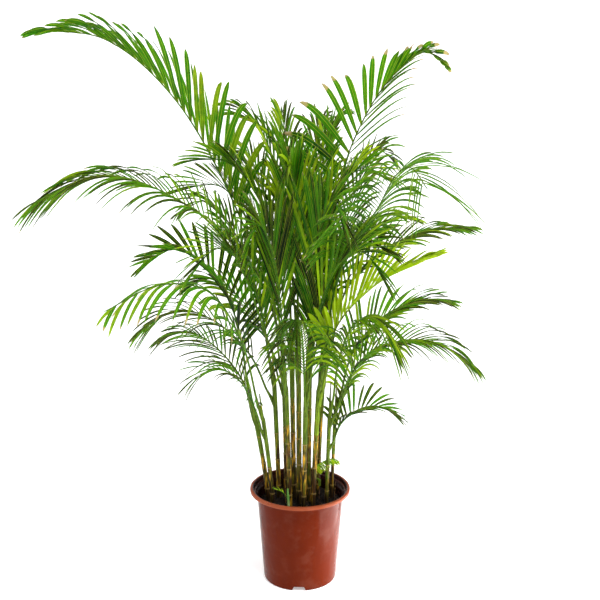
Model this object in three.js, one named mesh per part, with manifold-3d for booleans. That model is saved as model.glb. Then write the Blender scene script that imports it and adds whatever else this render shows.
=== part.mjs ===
// A potted areca palm: a clump of slim canes with arching feathered fronds in a plastic nursery pot.
// Millimetres, +Z up. The pot's axis is Z, its foot stands on Z = 0 and its front faces -Y.
import * as THREE from "three";
import { mergeVertices } from "three/addons/utils/BufferGeometryUtils.js";
import Module from "manifold-3d";

const wasm = await Module();
wasm.setup();

// ---- Driving dimensions, mm ----
const SEAT_GAP = 0.35; // between two pieces that touch
const CLEAR_GAP = 0.4; // least way between pieces that pass each other

const ROUND_SIDES = 24; // of the pot and the soil, which nest corner to corner

const POT_HEIGHT = 230;
const RIM_RADIUS = 120;
const RIM_WIDTH = 8;
const RIM_DROP = 9; // height of the rolled rim
const NECK_RADIUS = 103; // outside of the wall under the rim
const FOOT_RADIUS = 88;
const WALL = 2.5;
const FLARE = 10; // height over which the wall opens out under the rim
const ROUNDING = 4; // of the rim, the foot and the inner corner of the floor
const FOOT_RING = 10; // width of the ring that the pot stands on
const FOOT_RECESS = 11; // height of the drain channel over the ground
const FOOT_PAD = 32; // radius of the middle pad
const FLOOR_TOP = 14;
const NOTCHES = 4;
const NOTCH_WIDTH = 34;
const NOTCH_HEIGHT = 10.5;
const NOTCH_SLANT = 5;
const NOTCH_TURN = -0.03; // radians from the front
const DRAIN_HOLES = 8;
const DRAIN_RADIUS = 6;
const DRAIN_CIRCLE = 58; // radius of the circle that the drain holes lie on

const SOIL_TOP = 192;
const SOIL_CLODS = 3.2; // height of the clods
const SOIL_RINGS = 3;
const SOIL_SHOULDER = 2; // the soil falls off this far from the wall
const SET_DEPTH = 45; // how deep canes and stumps stand in the soil

const CANE_SIDES = 6;
const NODE_SPACING = 66; // from one leaf scar of a cane to the next
const SCAR = 0.7; // how far a leaf scar stands out

const BLADE = 0.8; // thickness of a leaflet
const MOST_RAISE = 52; // degrees: a leaflet that stands steeper would twist at its root
const CLOSING = [0.35, 0.9]; // shares of the rib between which leaflets close towards it
const LEAST_CLOSE = 13; // degrees: a leaflet closer to its rib would grow into it
const ROLL_SWEEP = 0.3; // how much wider than sweep the raised row stands, per radian of roll
const EDGE_WIDTH = 0.3; // how much narrower a row turned on edge is, per radian
const MOST_EDGE = 30; // degrees that the first ring of a leaflet may turn over its root
const SHORT_BENDS = [[0.42, 1]]; // reach and width of a leaflet where it bends, as shares
const LONG_BENDS = [[0.3, 1], [0.68, 0.8]];
const LONG_LEAFLET = 185; // from here on a leaflet bends at two places instead of one
const ROOT_WIDTH = 6; // of a leaflet where it leaves its rib
const PETIOLE_RADIUS = 3.1;
const RIB_TIP_RADIUS = 1.1;
const RIB_CORNERS = [[0.85, 0.8], [-0.85, 0.8], [0, -1]]; // across and up, in radii
const PETIOLE_RINGS = [0, 0.25, 0.5, 0.78]; // shares of the petiole where the rib has a ring
const LAST_PAIR = 0.97; // share of the leafy part of the rib that carries pairs

// What is left of a leaflet's width, raise and droop at the rib's tip.
const TIP_WIDTH = 0.6;
const TIP_RAISE = 0.55;
const TIP_DROOP = 0.75;
const CANE_BEND = 1.25; // power by which a cane bends outwards
const CANE_TAPER = 0.18; // how much thinner a cane would be at its top
const SHEATH_SHARE = 0.62; // of a cane's height: from here up it tapers to its spear
const SHEATH_MIDDLE = 0.8; // share of the height of the ring between sheath and spear
const SPEAR_RADIUS = 0.16; // of the cane's

// Each cane: where it stands on the soil, where its spear ends, and its radius.
const CANES = {
  cane_01: { foot: [-76, 2], top: [-124, 8, 500], radius: 5.5 },
  cane_02: { foot: [-64, -26], top: [-94, -42, 480], radius: 5 },
  cane_03: { foot: [-51, 22], top: [-66, 34, 580], radius: 5.5 },
  cane_04: { foot: [-24, -34], top: [-36, -50, 600], radius: 5.5 },
  cane_05: { foot: [-15, 26], top: [-22, 38, 680], radius: 6 },
  cane_06: { foot: [-2, -8], top: [-4, -6, 700], radius: 6.5 },
  cane_07: { foot: [9, -42], top: [16, -60, 600], radius: 5.5 },
  cane_08: { foot: [20, 8], top: [24, 14, 680], radius: 6.5 },
  cane_09: { foot: [31, -26], top: [50, -38, 600], radius: 6 },
  cane_10: { foot: [42, 30], top: [62, 44, 630], radius: 6 },
  cane_11: { foot: [64, -12], top: [72, -15, 500], radius: 4.5 },
  cane_12: { foot: [77, 22], top: [88, 30, 490], radius: 4.2 },
  cane_13: { foot: [-34, 56], top: [-42, 78, 590], radius: 5 },
  cane_14: { foot: [16, 60], top: [22, 84, 600], radius: 5.5 },
};

// Cut canes, a young shoot and an old stump between the canes.
const POSTS = {
  cut_cane_left: { foot: [-35, -8], top: [-36, -10, 305], radius: 7 },
  cut_cane_right: { foot: [60, 14], top: [66, 14, 268], radius: 5.5 },
  cut_cane_small: { foot: [82, -8], top: [85, -8, 246], radius: 4.5 },
  young_shoot: { foot: [-27, -62], top: [-29, -64, 252], radius: 3.4 },
  old_stump: { foot: [46, 2], top: [48, 4, 262], radius: 9.5, sides: 10, flare: 1.15 },
};

// Each frond: the cane and height it leaves at, its compass direction in degrees (0 is +X, 90 is
// the back), and points of its rib as reach and height. leaf is its longest leaflet, wide how wide
// that is, raise the angle at which leaflets stand over the rib, roll its turn about the rib. droop
// is how far leaflets bend down and hook how late. sweep is their angle to the rib at its foot and
// close at its tip. edge turns the row that roll lowers about its own length. taper is how much
// shorter the last leaflets are, and bare is the share of the rib that is petiole.
const USUAL = {
  leaf: 160, wide: 11, raise: 32, roll: 0, droop: 0.7, hook: 2.6, sweep: 50, close: 15, edge: 0,
  taper: 0.66, bare: 0.28, pairs: 10,
};
const FRONDS = {
  frond_left_top: {
    cane: "cane_05", base: 520, turn: 186,
    rib: [[95, 825], [255, 1145], [405, 1278], [545, 1298]],
    leaf: 270, wide: 18, raise: 52, droop: 0.75, sweep: 48, close: 9, bare: 0.37, pairs: 16,
  },
  frond_left_high: {
    cane: "cane_04", base: 500, turn: 197,
    rib: [[125, 830], [225, 935], [395, 1005], [540, 955]],
    leaf: 200, raise: 36, roll: -18, droop: 1.3, hook: 2.2, sweep: 48, close: 9, edge: 55,
    taper: 0.72, bare: 0.3, pairs: 14,
  },
  frond_left_mid: {
    cane: "cane_01", base: 430, turn: 186,
    rib: [[40, 655], [105, 775], [175, 815], [250, 780]],
    leaf: 155, wide: 14, raise: 40, roll: -30, droop: 0.3, sweep: 55, close: 22, edge: 65,
  },
  frond_left_pale: {
    cane: "cane_02", base: 420, turn: 212,
    rib: [[55, 615], [135, 740], [250, 770], [380, 730]],
    leaf: 135, wide: 12, raise: 6, roll: -20, droop: 1.6, sweep: 48, close: 22, hook: 2, pairs: 12,
  },
  frond_left_low: {
    cane: "cane_03", base: 430, turn: 183,
    rib: [[60, 555], [145, 640], [225, 665], [305, 625]],
    leaf: 175, raise: 26, roll: -25, droop: 1.2, sweep: 42, close: 12, edge: 55, hook: 2, pairs: 11,
  },
  frond_left_lower: {
    cane: "cane_01", base: 390, turn: 156,
    rib: [[35, 490], [105, 565], [175, 595], [245, 580]],
    leaf: 165, raise: 26, roll: -25, droop: 1.2, sweep: 42, close: 12, edge: 55, hook: 2,
  },
  frond_left_lowest: {
    cane: "cane_02", base: 370, turn: 203,
    rib: [[25, 440], [65, 520], [120, 555], [170, 535]],
    leaf: 150, raise: 24, roll: -25, droop: 1.2, sweep: 42, close: 12, edge: 55, hook: 2,
    bare: 0.22, pairs: 9,
  },
  frond_left_back: {
    cane: "cane_13", base: 440, turn: 158,
    rib: [[40, 565], [115, 670], [185, 710], [255, 685]],
    leaf: 140, roll: -20, close: 12,
  },
  frond_back_top: {
    cane: "cane_10", base: 550, turn: 160,
    rib: [[30, 825], [100, 1025], [190, 1100], [275, 1105]],
    raise: 35, roll: -20, sweep: 32, close: 10,
  },
  frond_right_top: {
    cane: "cane_08", base: 550, turn: 14,
    rib: [[40, 820], [95, 1040], [180, 1185], [265, 1248], [325, 1212]],
    leaf: 190, wide: 17, raise: 18, roll: 52, droop: 0.5, hook: 3.5, sweep: 66, close: 6, edge: 84,
    taper: 0.85, bare: 0.38, pairs: 15,
  },
  frond_right_high: {
    cane: "cane_09", base: 490, turn: 306,
    rib: [[60, 750], [115, 845], [200, 940], [258, 1018], [300, 1036], [350, 1000]],
    leaf: 190, raise: 38, roll: 4, droop: 1.45, hook: 2.1, sweep: 62, close: 55, taper: 0.3,
    bare: 0.44, pairs: 14,
  },
  frond_right_arch: {
    cane: "cane_10", base: 490, turn: 2,
    rib: [[55, 710], [130, 795], [230, 845], [335, 855]],
    roll: 25, sweep: 44, close: 8, edge: 30, pairs: 12,
  },
  frond_right_back: {
    cane: "cane_14", base: 480, turn: 30,
    rib: [[60, 695], [145, 800], [225, 845], [305, 845]],
    roll: 20, close: 10,
  },
  frond_right_young: {
    cane: "cane_09", base: 450, turn: 344,
    rib: [[40, 635], [120, 735], [190, 785], [255, 820]],
    leaf: 175, wide: 12, raise: 42, roll: 22, droop: 0.3, sweep: 46, close: 6, bare: 0.24,
  },
  frond_right_mid: {
    cane: "cane_12", base: 420, turn: 8,
    rib: [[40, 555], [110, 640], [185, 675], [265, 675]],
    raise: 34, roll: 25, sweep: 40, close: 7, edge: 30,
  },
  frond_right_low: {
    cane: "cane_11", base: 390, turn: 350,
    rib: [[60, 535], [140, 600], [235, 610], [335, 555]],
    leaf: 150, raise: 30, roll: 22, droop: 1.1, sweep: 45, close: 16, edge: 50, taper: 0.7,
    pairs: 11,
  },
  frond_right_lower: {
    cane: "cane_12", base: 380, turn: 25,
    rib: [[30, 465], [75, 535], [125, 560], [175, 550]],
    leaf: 120, roll: 20, droop: 1.0, close: 16, edge: 40, bare: 0.22, pairs: 8,
  },
  frond_right_lowest: {
    cane: "cane_11", base: 330, turn: 5,
    rib: [[30, 395], [75, 430], [120, 435], [170, 405]],
    leaf: 95, raise: 40, roll: 34, droop: 0.5, sweep: 55, close: 12, edge: 75, bare: 0.2,
  },
  frond_front_top: {
    cane: "cane_06", base: 590, turn: 262,
    rib: [[25, 810], [65, 950], [120, 1020], [190, 1010]],
    leaf: 210, raise: 38, droop: 0.9, sweep: 32, close: 8, pairs: 9,
  },
  frond_front_right: {
    cane: "cane_07", base: 490, turn: 288,
    rib: [[35, 720], [95, 890], [175, 960], [260, 915]],
    leaf: 215, raise: 36, droop: 0.6, sweep: 28, close: 8, pairs: 9,
  },
  frond_front_left: {
    cane: "cane_04", base: 480, turn: 250,
    rib: [[35, 700], [90, 845], [160, 905], [235, 870]],
    leaf: 205, raise: 36, droop: 0.6, sweep: 28, close: 8, pairs: 9,
  },
  frond_front_side: {
    cane: "cane_07", base: 455, turn: 312,
    rib: [[40, 680], [105, 805], [175, 845], [245, 800]],
    leaf: 185, sweep: 30, close: 8, pairs: 9,
  },
  frond_front_far_left: {
    cane: "cane_03", base: 480, turn: 228,
    rib: [[45, 680], [105, 790], [180, 835], [250, 800]],
    leaf: 190, raise: 40, droop: 0.6, sweep: 30, close: 8, pairs: 9,
  },
  frond_front_low: {
    cane: "cane_07", base: 430, turn: 262,
    rib: [[30, 570], [75, 665], [130, 695], [185, 665]],
    leaf: 165, droop: 0.5, sweep: 26, close: 8, pairs: 9,
  },
  frond_front_low_right: {
    cane: "cane_11", base: 420, turn: 315,
    rib: [[30, 565], [75, 655], [130, 680], [185, 650]],
    leaf: 165, droop: 0.6, sweep: 28, close: 8, pairs: 9,
  },
  frond_back_mid: {
    cane: "cane_14", base: 520, turn: 82,
    rib: [[45, 800], [115, 980], [205, 1070], [305, 1050]],
    leaf: 205, sweep: 32, close: 10, pairs: 9,
  },
  frond_back_left: {
    cane: "cane_13", base: 500, turn: 118,
    rib: [[45, 760], [110, 925], [195, 1005], [280, 980]],
    leaf: 200, sweep: 32, close: 10, pairs: 9,
  },
  frond_back_right: {
    cane: "cane_10", base: 520, turn: 52,
    rib: [[45, 755], [120, 920], [200, 1010], [290, 985]],
    leaf: 200, sweep: 32, close: 10, pairs: 9,
  },
  frond_back_high: {
    cane: "cane_05", base: 590, turn: 100,
    rib: [[25, 845], [60, 1005], [120, 1100], [195, 1100]],
    leaf: 180, raise: 35, sweep: 32, close: 10, pairs: 9,
  },
  frond_back_far_left: {
    cane: "cane_03", base: 500, turn: 140,
    rib: [[50, 695], [125, 835], [205, 895], [295, 865]],
    leaf: 180, sweep: 32, close: 10, pairs: 8,
  },
  frond_back_low: {
    cane: "cane_14", base: 430, turn: 60,
    rib: [[40, 635], [105, 750], [180, 800], [250, 770]],
    leaf: 165, sweep: 32, close: 10, pairs: 8,
  },
  frond_crown_left: {
    cane: "cane_05", base: 550, turn: 205,
    rib: [[35, 790], [85, 935], [155, 1015], [230, 1025]],
    leaf: 195, raise: 38, sweep: 28, close: 8, pairs: 9,
  },
  frond_crown_back: {
    cane: "cane_06", base: 620, turn: 140,
    rib: [[30, 850], [75, 1015], [140, 1105], [215, 1130]],
    leaf: 190, raise: 38, sweep: 32, close: 10, pairs: 8,
  },
  frond_crown_right: {
    cane: "cane_08", base: 600, turn: 62,
    rib: [[25, 845], [60, 1000], [110, 1085], [180, 1105]],
    leaf: 185, raise: 38, sweep: 32, close: 10, pairs: 9,
  },
  frond_crown_front: {
    cane: "cane_08", base: 570, turn: 318,
    rib: [[30, 790], [75, 925], [130, 1000], [200, 1000]],
    leaf: 200, raise: 38, sweep: 28, close: 8, pairs: 9,
  },
  frond_inner_left: {
    cane: "cane_13", base: 470, turn: 192,
    rib: [[30, 705], [80, 860], [145, 950], [225, 950]],
    leaf: 195, raise: 38, sweep: 26, close: 8, pairs: 9,
  },
  frond_inner_right: {
    cane: "cane_10", base: 470, turn: 318,
    rib: [[20, 640], [60, 775], [115, 840], [180, 830]],
    leaf: 185, raise: 38, sweep: 26, close: 8, pairs: 9,
  },
};

// Small shoots, made as fronds are, but carried by a post.
const SHOOTS = {
  stump_shoot: {
    cane: "old_stump", base: 246, turn: 175,
    rib: [[14, 274], [-6, 292], [-28, 300], [-46, 296]],
    leaf: 34, wide: 3.4, raise: 45, droop: 0.3, sweep: 62, close: 40, bare: 0.3, pairs: 7,
    scale: 0.45,
  },
  young_leaf: {
    cane: "young_shoot", base: 232, turn: 172,
    rib: [[10, 240], [20, 247], [32, 252]],
    leaf: 22, wide: 4, raise: 20, droop: 0.3, sweep: 30, bare: 0.3, pairs: 2, scale: 0.35,
  },
};

// ---- Looks ----
const LOOKS = {
  pot: { color: 0x8a3f26, roughness: 0.38, metalness: 0 },
  soil: { color: 0x2a1d16, roughness: 0.95, metalness: 0 },
  cane: { color: 0x6f7a2a, roughness: 0.6, metalness: 0 },
  frond: { color: 0x3f8a1e, roughness: 0.5, metalness: 0 },
  stump: { color: 0x2e211a, roughness: 0.95, metalness: 0 },
};

const UP = new THREE.Vector3(0, 0, 1);
const along = (a, b, share) => a + (b - a) * share;

// ---- Meshes and solids ----

// A geometry from corner points and triangles of their numbers.
function facets(points, triangles) {
  const geometry = new THREE.BufferGeometry();
  const flat = points.flatMap((p) => [p.x, p.y, p.z]);
  geometry.setAttribute("position", new THREE.Float32BufferAttribute(flat, 3));
  geometry.setIndex(triangles.flat());
  return geometry;
}

function solidOf(geometry) {
  const bare = new THREE.BufferGeometry();
  bare.setAttribute("position", geometry.getAttribute("position"));
  bare.setIndex(geometry.index);
  const merged = mergeVertices(bare, 1e-4);
  return new wasm.Manifold(new wasm.Mesh({
    numProp: 3,
    vertProperties: new Float32Array(merged.attributes.position.array),
    triVerts: new Uint32Array(merged.index.array),
  }));
}

function geometryOf(solid) {
  const mesh = solid.getMesh();
  const geometry = new THREE.BufferGeometry();
  const points = new Float32Array(mesh.vertProperties);
  geometry.setAttribute("position", new THREE.BufferAttribute(points, 3));
  geometry.setIndex(new THREE.BufferAttribute(new Uint32Array(mesh.triVerts), 1));
  geometry.computeVertexNormals();
  return geometry;
}

// A round solid about Z from its profile of [radius, height] points.
function turned(profile, sides) {
  const points = profile.map(([radius, height]) => new THREE.Vector2(radius, height));
  const geometry = new THREE.LatheGeometry(points, sides);
  geometry.rotateX(Math.PI / 2);
  return solidOf(geometry);
}

// The two ends and the skin between equal rings of corners, counter-clockwise seen from the last.
function tubeFaces(rings, sides) {
  const faces = [];
  for (let k = 0; k + 1 < rings; k++) {
    for (let j = 0; j < sides; j++) {
      const next = (j + 1) % sides;
      faces.push([k * sides + j, k * sides + next, (k + 1) * sides + next]);
      faces.push([k * sides + j, (k + 1) * sides + next, (k + 1) * sides + j]);
    }
  }
  for (let j = 1; j + 1 < sides; j++) {
    const last = (rings - 1) * sides;
    faces.push([0, j + 1, j], [last, last + j, last + j + 1]);
  }
  return faces;
}

// ---- Pot and soil ----

const UNDER_RIM = POT_HEIGHT - RIM_DROP;
const NECK_HEIGHT = UNDER_RIM - FLARE;

// Outside radius of the wall at a height.
const wallRadius = (height) => along(FOOT_RADIUS, NECK_RADIUS, height / NECK_HEIGHT);

function makePot() {
  const ringInside = FOOT_RADIUS - ROUNDING - FOOT_RING;
  const rimInside = RIM_RADIUS - RIM_WIDTH;
  const profile = [
    [0, 0],
    [FOOT_PAD, 0],
    [FOOT_PAD + 2, FOOT_RECESS],
    [ringInside - 2, FOOT_RECESS],
    [ringInside, 0],
    [FOOT_RADIUS - ROUNDING, 0],
    [FOOT_RADIUS - ROUNDING / 4, ROUNDING / 2],
    [wallRadius(ROUNDING * 1.5), ROUNDING * 1.5],
    [NECK_RADIUS, NECK_HEIGHT],
    [NECK_RADIUS + ROUNDING, UNDER_RIM - 1],
    [RIM_RADIUS - ROUNDING / 2, UNDER_RIM],
    [RIM_RADIUS, UNDER_RIM + ROUNDING],
    [RIM_RADIUS - ROUNDING / 8, POT_HEIGHT - ROUNDING],
    [RIM_RADIUS - ROUNDING * 0.75, POT_HEIGHT],
    [rimInside + ROUNDING * 0.6, POT_HEIGHT],
    [rimInside, POT_HEIGHT - ROUNDING * 0.75],
    [rimInside - 1, UNDER_RIM + ROUNDING / 2],
    [NECK_RADIUS - WALL, NECK_HEIGHT],
    [wallRadius(FLOOR_TOP + ROUNDING) - WALL, FLOOR_TOP + ROUNDING],
    [wallRadius(FLOOR_TOP) - WALL - ROUNDING, FLOOR_TOP],
    [0, FLOOR_TOP],
  ];
  let pot = turned(profile, ROUND_SIDES);
  for (const cutter of [...notches(ringInside), ...drains()]) pot = pot.subtract(cutter);
  return pot;
}

// Cutters for the drain notches through the foot ring, wider at the ground.
function notches(ringInside) {
  const outline = new THREE.Shape();
  outline.moveTo(-NOTCH_WIDTH / 2, -1);
  outline.lineTo(NOTCH_WIDTH / 2, -1);
  outline.lineTo(NOTCH_WIDTH / 2 - NOTCH_SLANT, NOTCH_HEIGHT);
  outline.lineTo(NOTCH_SLANT - NOTCH_WIDTH / 2, NOTCH_HEIGHT);
  const from = ringInside - ROUNDING * 2;
  const depth = FOOT_RADIUS + ROUNDING - from;
  const cutter = new THREE.ExtrudeGeometry(outline, { depth, bevelEnabled: false });
  cutter.rotateX(Math.PI / 2);
  cutter.translate(0, -from, 0);
  return Array.from({ length: NOTCHES }, (_, k) => (
    solidOf(cutter.clone().rotateZ((k / NOTCHES) * 2 * Math.PI + NOTCH_TURN))
  ));
}

// Cutters for the drain holes through the floor.
function drains() {
  const cutter = new THREE.CylinderGeometry(DRAIN_RADIUS, DRAIN_RADIUS, FLOOR_TOP * 3, 10);
  cutter.rotateX(Math.PI / 2);
  cutter.translate(DRAIN_CIRCLE, 0, 0);
  return Array.from({ length: DRAIN_HOLES }, (_, k) => (
    solidOf(cutter.clone().rotateZ(((k + 0.5) / DRAIN_HOLES) * 2 * Math.PI))
  ));
}

// Height of the clods at a place on the soil, from a few crossing waves.
function clods(x, y) {
  const coarse = Math.sin(x * 0.13 + 1.7) * Math.cos(y * 0.11 - 0.6);
  const fine = Math.sin(x * 0.31 - y * 0.27) * 0.5;
  return SOIL_CLODS * (coarse + fine);
}

// The soil that fills the pot, with a plain hole for each piece that stands in it.
function makeSoil(cutters) {
  const points = [];
  const ring = (radius, heightAt) => {
    for (let j = 0; j < ROUND_SIDES; j++) {
      const angle = (j / ROUND_SIDES - 0.25) * 2 * Math.PI;
      const x = radius * Math.cos(angle);
      const y = radius * Math.sin(angle);
      points.push(new THREE.Vector3(x, y, heightAt(x, y)));
    }
  };
  const inset = WALL + SEAT_GAP * 2;
  const bottom = FLOOR_TOP + SEAT_GAP;
  const outer = wallRadius(SOIL_TOP) - inset;
  ring(wallRadius(FLOOR_TOP) - inset - ROUNDING, () => bottom);
  ring(wallRadius(FLOOR_TOP + ROUNDING) - inset, () => bottom + ROUNDING);
  ring(outer, () => SOIL_TOP - SOIL_CLODS);
  for (let k = SOIL_RINGS; k > 0; k--) {
    ring((outer - SOIL_SHOULDER) * (k / SOIL_RINGS), (x, y) => SOIL_TOP + clods(x, y));
  }
  let soil = solidOf(facets(points, tubeFaces(SOIL_RINGS + 3, ROUND_SIDES)));
  for (const cutter of cutters) soil = soil.subtract(cutter);
  return soil;
}

// ---- Canes and stumps ----

// The middle line of a cane: it leans, and bends outwards a little more towards its top.
function caneAxis({ foot, top }, height) {
  const share = (height - SOIL_TOP) / (top[2] - SOIL_TOP);
  const lean = share < 0 ? share / 2 : share ** CANE_BEND;
  return new THREE.Vector3(
    along(foot[0], top[0], lean),
    along(foot[1], top[1], lean),
    height,
  );
}

// Radius of a cane at a height: it thins a little up to the sheath, then tapers to its spear.
function caneRadius({ top, radius }, height) {
  const share = (height - SOIL_TOP) / (top[2] - SOIL_TOP);
  if (share < SHEATH_SHARE) return radius * (1 - CANE_TAPER * share);
  const spear = (share - SHEATH_SHARE) / (1 - SHEATH_SHARE);
  return radius * along(1 - CANE_TAPER * SHEATH_SHARE, SPEAR_RADIUS, spear ** 0.8);
}

function ringedTube(rings, sides) {
  const points = [];
  for (const { middle, radius } of rings) {
    for (let j = 0; j < sides; j++) {
      const angle = (j / sides) * 2 * Math.PI;
      const x = middle.x + radius * Math.cos(angle);
      points.push(new THREE.Vector3(x, middle.y + radius * Math.sin(angle), middle.z));
    }
  }
  return facets(points, tubeFaces(rings.length, sides));
}

// grow widens the cane evenly: the hole that it stands in is the cane grown by its gap.
function makeCane(cane, grow = 0) {
  const rings = [];
  const add = (height, extra) => rings.push({
    middle: caneAxis(cane, height),
    radius: caneRadius(cane, height) + extra + grow,
  });
  add(SOIL_TOP - SET_DEPTH - grow, 0);
  const sheathFrom = along(SOIL_TOP, cane.top[2], SHEATH_SHARE) - NODE_SPACING / 2;
  for (let height = SOIL_TOP + NODE_SPACING / 2; height < sheathFrom; height += NODE_SPACING) {
    add(height, SCAR);
    add(height + NODE_SPACING / 2, 0);
  }
  for (const share of [SHEATH_SHARE, SHEATH_MIDDLE, 1]) {
    add(along(SOIL_TOP, cane.top[2], share), 0);
  }
  return solidOf(ringedTube(rings, CANE_SIDES));
}

// A cut cane, shoot or stump: a short post that flares a little at its foot.
function makePost(post, grow = 0) {
  const { foot, top, radius, sides = 7, flare = 1 } = post;
  const heights = [SOIL_TOP - SET_DEPTH - grow, SOIL_TOP, along(SOIL_TOP, top[2], 0.5), top[2] + grow];
  const widths = [radius, radius * flare, radius * along(flare, 1, 0.5), radius * 0.92];
  const rings = heights.map((height, k) => {
    const share = Math.max(0, (height - SOIL_TOP) / (top[2] - SOIL_TOP));
    const middle = new THREE.Vector3(
      along(foot[0], top[0], share),
      along(foot[1], top[1], share),
      height,
    );
    return { middle, radius: widths[k] + grow };
  });
  return solidOf(ringedTube(rings, sides));
}

// ---- Fronds ----

// The rib's line in space, from its seat on the cane to its tip.
function ribCurve(frond, turn, seatOut) {
  const axis = caneAxis(CANES[frond.cane] ?? POSTS[frond.cane], frond.base);
  const out = new THREE.Vector3(Math.cos(turn), Math.sin(turn), 0);
  const at = (reach, height) => axis.clone().addScaledVector(out, reach).setZ(height);
  const points = [at(seatOut, frond.base), ...frond.rib.map(([reach, height]) => at(reach, height))];
  return new THREE.CatmullRomCurve3(points, false, "centripetal");
}

// Where the pairs of leaflets sit, as shares of the rib's length.
function pairShares({ bare, pairs }) {
  return Array.from({ length: pairs }, (_, k) => (
    bare + (1 - bare) * ((k + 0.3) / pairs) * LAST_PAIR
  ));
}

const LONGEST_AT = 0.3;
const FIRST_TAPER = 0.25; // how much shorter the first leaflets are

// Longest in the lower third, shorter at both ends. share runs from the first pair to the tip.
function leafLength({ leaf, taper }, share) {
  if (share < LONGEST_AT) return leaf * (1 - FIRST_TAPER * ((LONGEST_AT - share) / LONGEST_AT) ** 2);
  return leaf * (1 - taper * ((share - LONGEST_AT) / (1 - LONGEST_AT)) ** 1.2);
}

// Rings of three corners along the rib: top left, top right and the keel. Seen from the tip they
// run counter-clockwise.
function ribRings(frond, curve, turn) {
  const length = curve.getLength();
  const pairs = pairShares(frond);
  const scale = frond.scale ?? 1;
  const half = (ROOT_WIDTH * scale) / 2 / length;
  const stops = PETIOLE_RINGS.map((part) => ({ share: frond.bare * part }));
  pairs.forEach((share, k) => {
    const reach = half * along(1, TIP_WIDTH, k / pairs.length);
    stops.push({ share: share - reach, pair: k }, { share: share + reach });
  });
  const side = new THREE.Vector3(-Math.sin(turn), Math.cos(turn), 0);
  return stops.map(({ share, pair }) => {
    const centre = curve.getPointAt(share);
    const tangent = curve.getTangentAt(share);
    const roll = THREE.MathUtils.degToRad(frond.roll) * THREE.MathUtils.smoothstep(share, 0.1, 0.6);
    const left = side.clone().applyAxisAngle(tangent, roll);
    const up = tangent.clone().cross(left);
    const radius = along(PETIOLE_RADIUS, RIB_TIP_RADIUS, share ** 0.8) * scale;
    const corner = (s, u) => centre.clone().addScaledVector(left, s * radius).addScaledVector(up, u * radius);
    return {
      share, pair, centre, tangent, left, up,
      corners: RIB_CORNERS.map(([across, raised]) => corner(across, raised)),
    };
  });
}

// One leaflet: rings of four corners after its root on the rib, then a point. low and high are the
// rib's rings at its root. hand is 1 on the left and -1 on the right, swing turns it up or down
// about the rib, scale shortens it. The row that roll lowers lies closer to the rib.
function makeLeaflet(frond, low, high, share, hand, swing, scale) {
  const longest = leafLength(frond, share) * scale;
  const onRib = low.share;
  const rolled = THREE.MathUtils.degToRad(frond.roll) * hand;
  const closing = THREE.MathUtils.smoothstep(onRib, ...CLOSING);
  const close = Math.max(frond.close, LEAST_CLOSE);
  const angle = along(frond.sweep * (1 + rolled * ROLL_SWEEP), close, closing);
  const sweep = THREE.MathUtils.degToRad(angle);
  const stands = Math.min(frond.raise * along(1, TIP_RAISE, onRib) + swing, MOST_RAISE);
  const raise = THREE.MathUtils.degToRad(stands);
  const mid = low.centre.clone().lerp(high.centre, 0.5);
  const tangent = low.tangent;
  const outwards = low.left.clone().multiplyScalar(hand * Math.cos(raise));
  outwards.addScaledVector(low.up, Math.sin(raise));
  const start = tangent.clone().multiplyScalar(Math.cos(sweep));
  start.addScaledVector(outwards, Math.sin(sweep));
  const face = tangent.clone().cross(start).multiplyScalar(hand).normalize();
  const across = start.clone().cross(face).multiplyScalar(-hand).normalize();
  if (across.dot(tangent) < 0) across.negate();
  const turned = rolled < 0 ? frond.edge : 0;
  const edge = THREE.MathUtils.degToRad(Math.min(turned, MOST_EDGE));
  const narrower = 1 - THREE.MathUtils.degToRad(turned) * EDGE_WIDTH;
  const width = frond.wide * narrower * along(1, TIP_WIDTH, onRib);
  const droop = frond.droop * along(1, TIP_DROOP, onRib);
  const place = (reach) => mid.clone()
    .addScaledVector(start, reach * longest)
    .addScaledVector(UP, -0.5 * droop * reach ** frond.hook * longest);
  const bends = longest > LONG_LEAFLET ? LONG_BENDS : SHORT_BENDS;
  const rings = bends.map(([reach, wide]) => {
    const slope = 0.5 * droop * frond.hook * reach ** (frond.hook - 1);
    const heading = start.clone().addScaledVector(UP, -slope).normalize();
    const wideWay = across.clone().addScaledVector(heading, -across.dot(heading)).normalize();
    const faceWay = heading.clone().cross(wideWay).normalize();
    if (faceWay.dot(face) < 0) faceWay.negate();
    wideWay.applyAxisAngle(heading, -hand * edge);
    faceWay.applyAxisAngle(heading, -hand * edge);
    const centre = place(reach);
    const corner = (w, f) => centre.clone()
      .addScaledVector(wideWay, (w * wide * width) / 2)
      .addScaledVector(faceWay, (f * BLADE) / 2);
    return hand > 0
      ? [corner(-1, -1), corner(-1, 1), corner(1, 1), corner(1, -1)]
      : [corner(-1, 1), corner(-1, -1), corner(1, -1), corner(1, 1)];
  });
  const [topLeft, topRight, keel] = [0, 1, 2];
  const root = hand > 0
    ? [low.corners[keel], low.corners[topLeft], high.corners[topLeft], high.corners[keel]]
    : [low.corners[topRight], low.corners[keel], high.corners[keel], high.corners[topRight]];
  return { root, rings, tip: place(1) };
}

// Faces of a leaflet whose ring k has the corner numbers ringAt(k), and whose point is tipAt.
function leafletFaces(ringAt, ringCount, tipAt) {
  const faces = [];
  for (let k = 0; k + 1 < ringCount; k++) {
    const a = ringAt(k);
    const b = ringAt(k + 1);
    for (let j = 0; j < 4; j++) {
      const next = (j + 1) % 4;
      // Top and underside are split alike, so that they never cross.
      if (j === 3) faces.push([a[j], a[next], b[j]], [a[next], b[next], b[j]]);
      else faces.push([a[j], a[next], b[next]], [a[j], b[next], b[j]]);
    }
  }
  const last = ringAt(ringCount - 1);
  for (let j = 0; j < 4; j++) faces.push([last[j], last[(j + 1) % 4], tipAt]);
  return faces;
}

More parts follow.
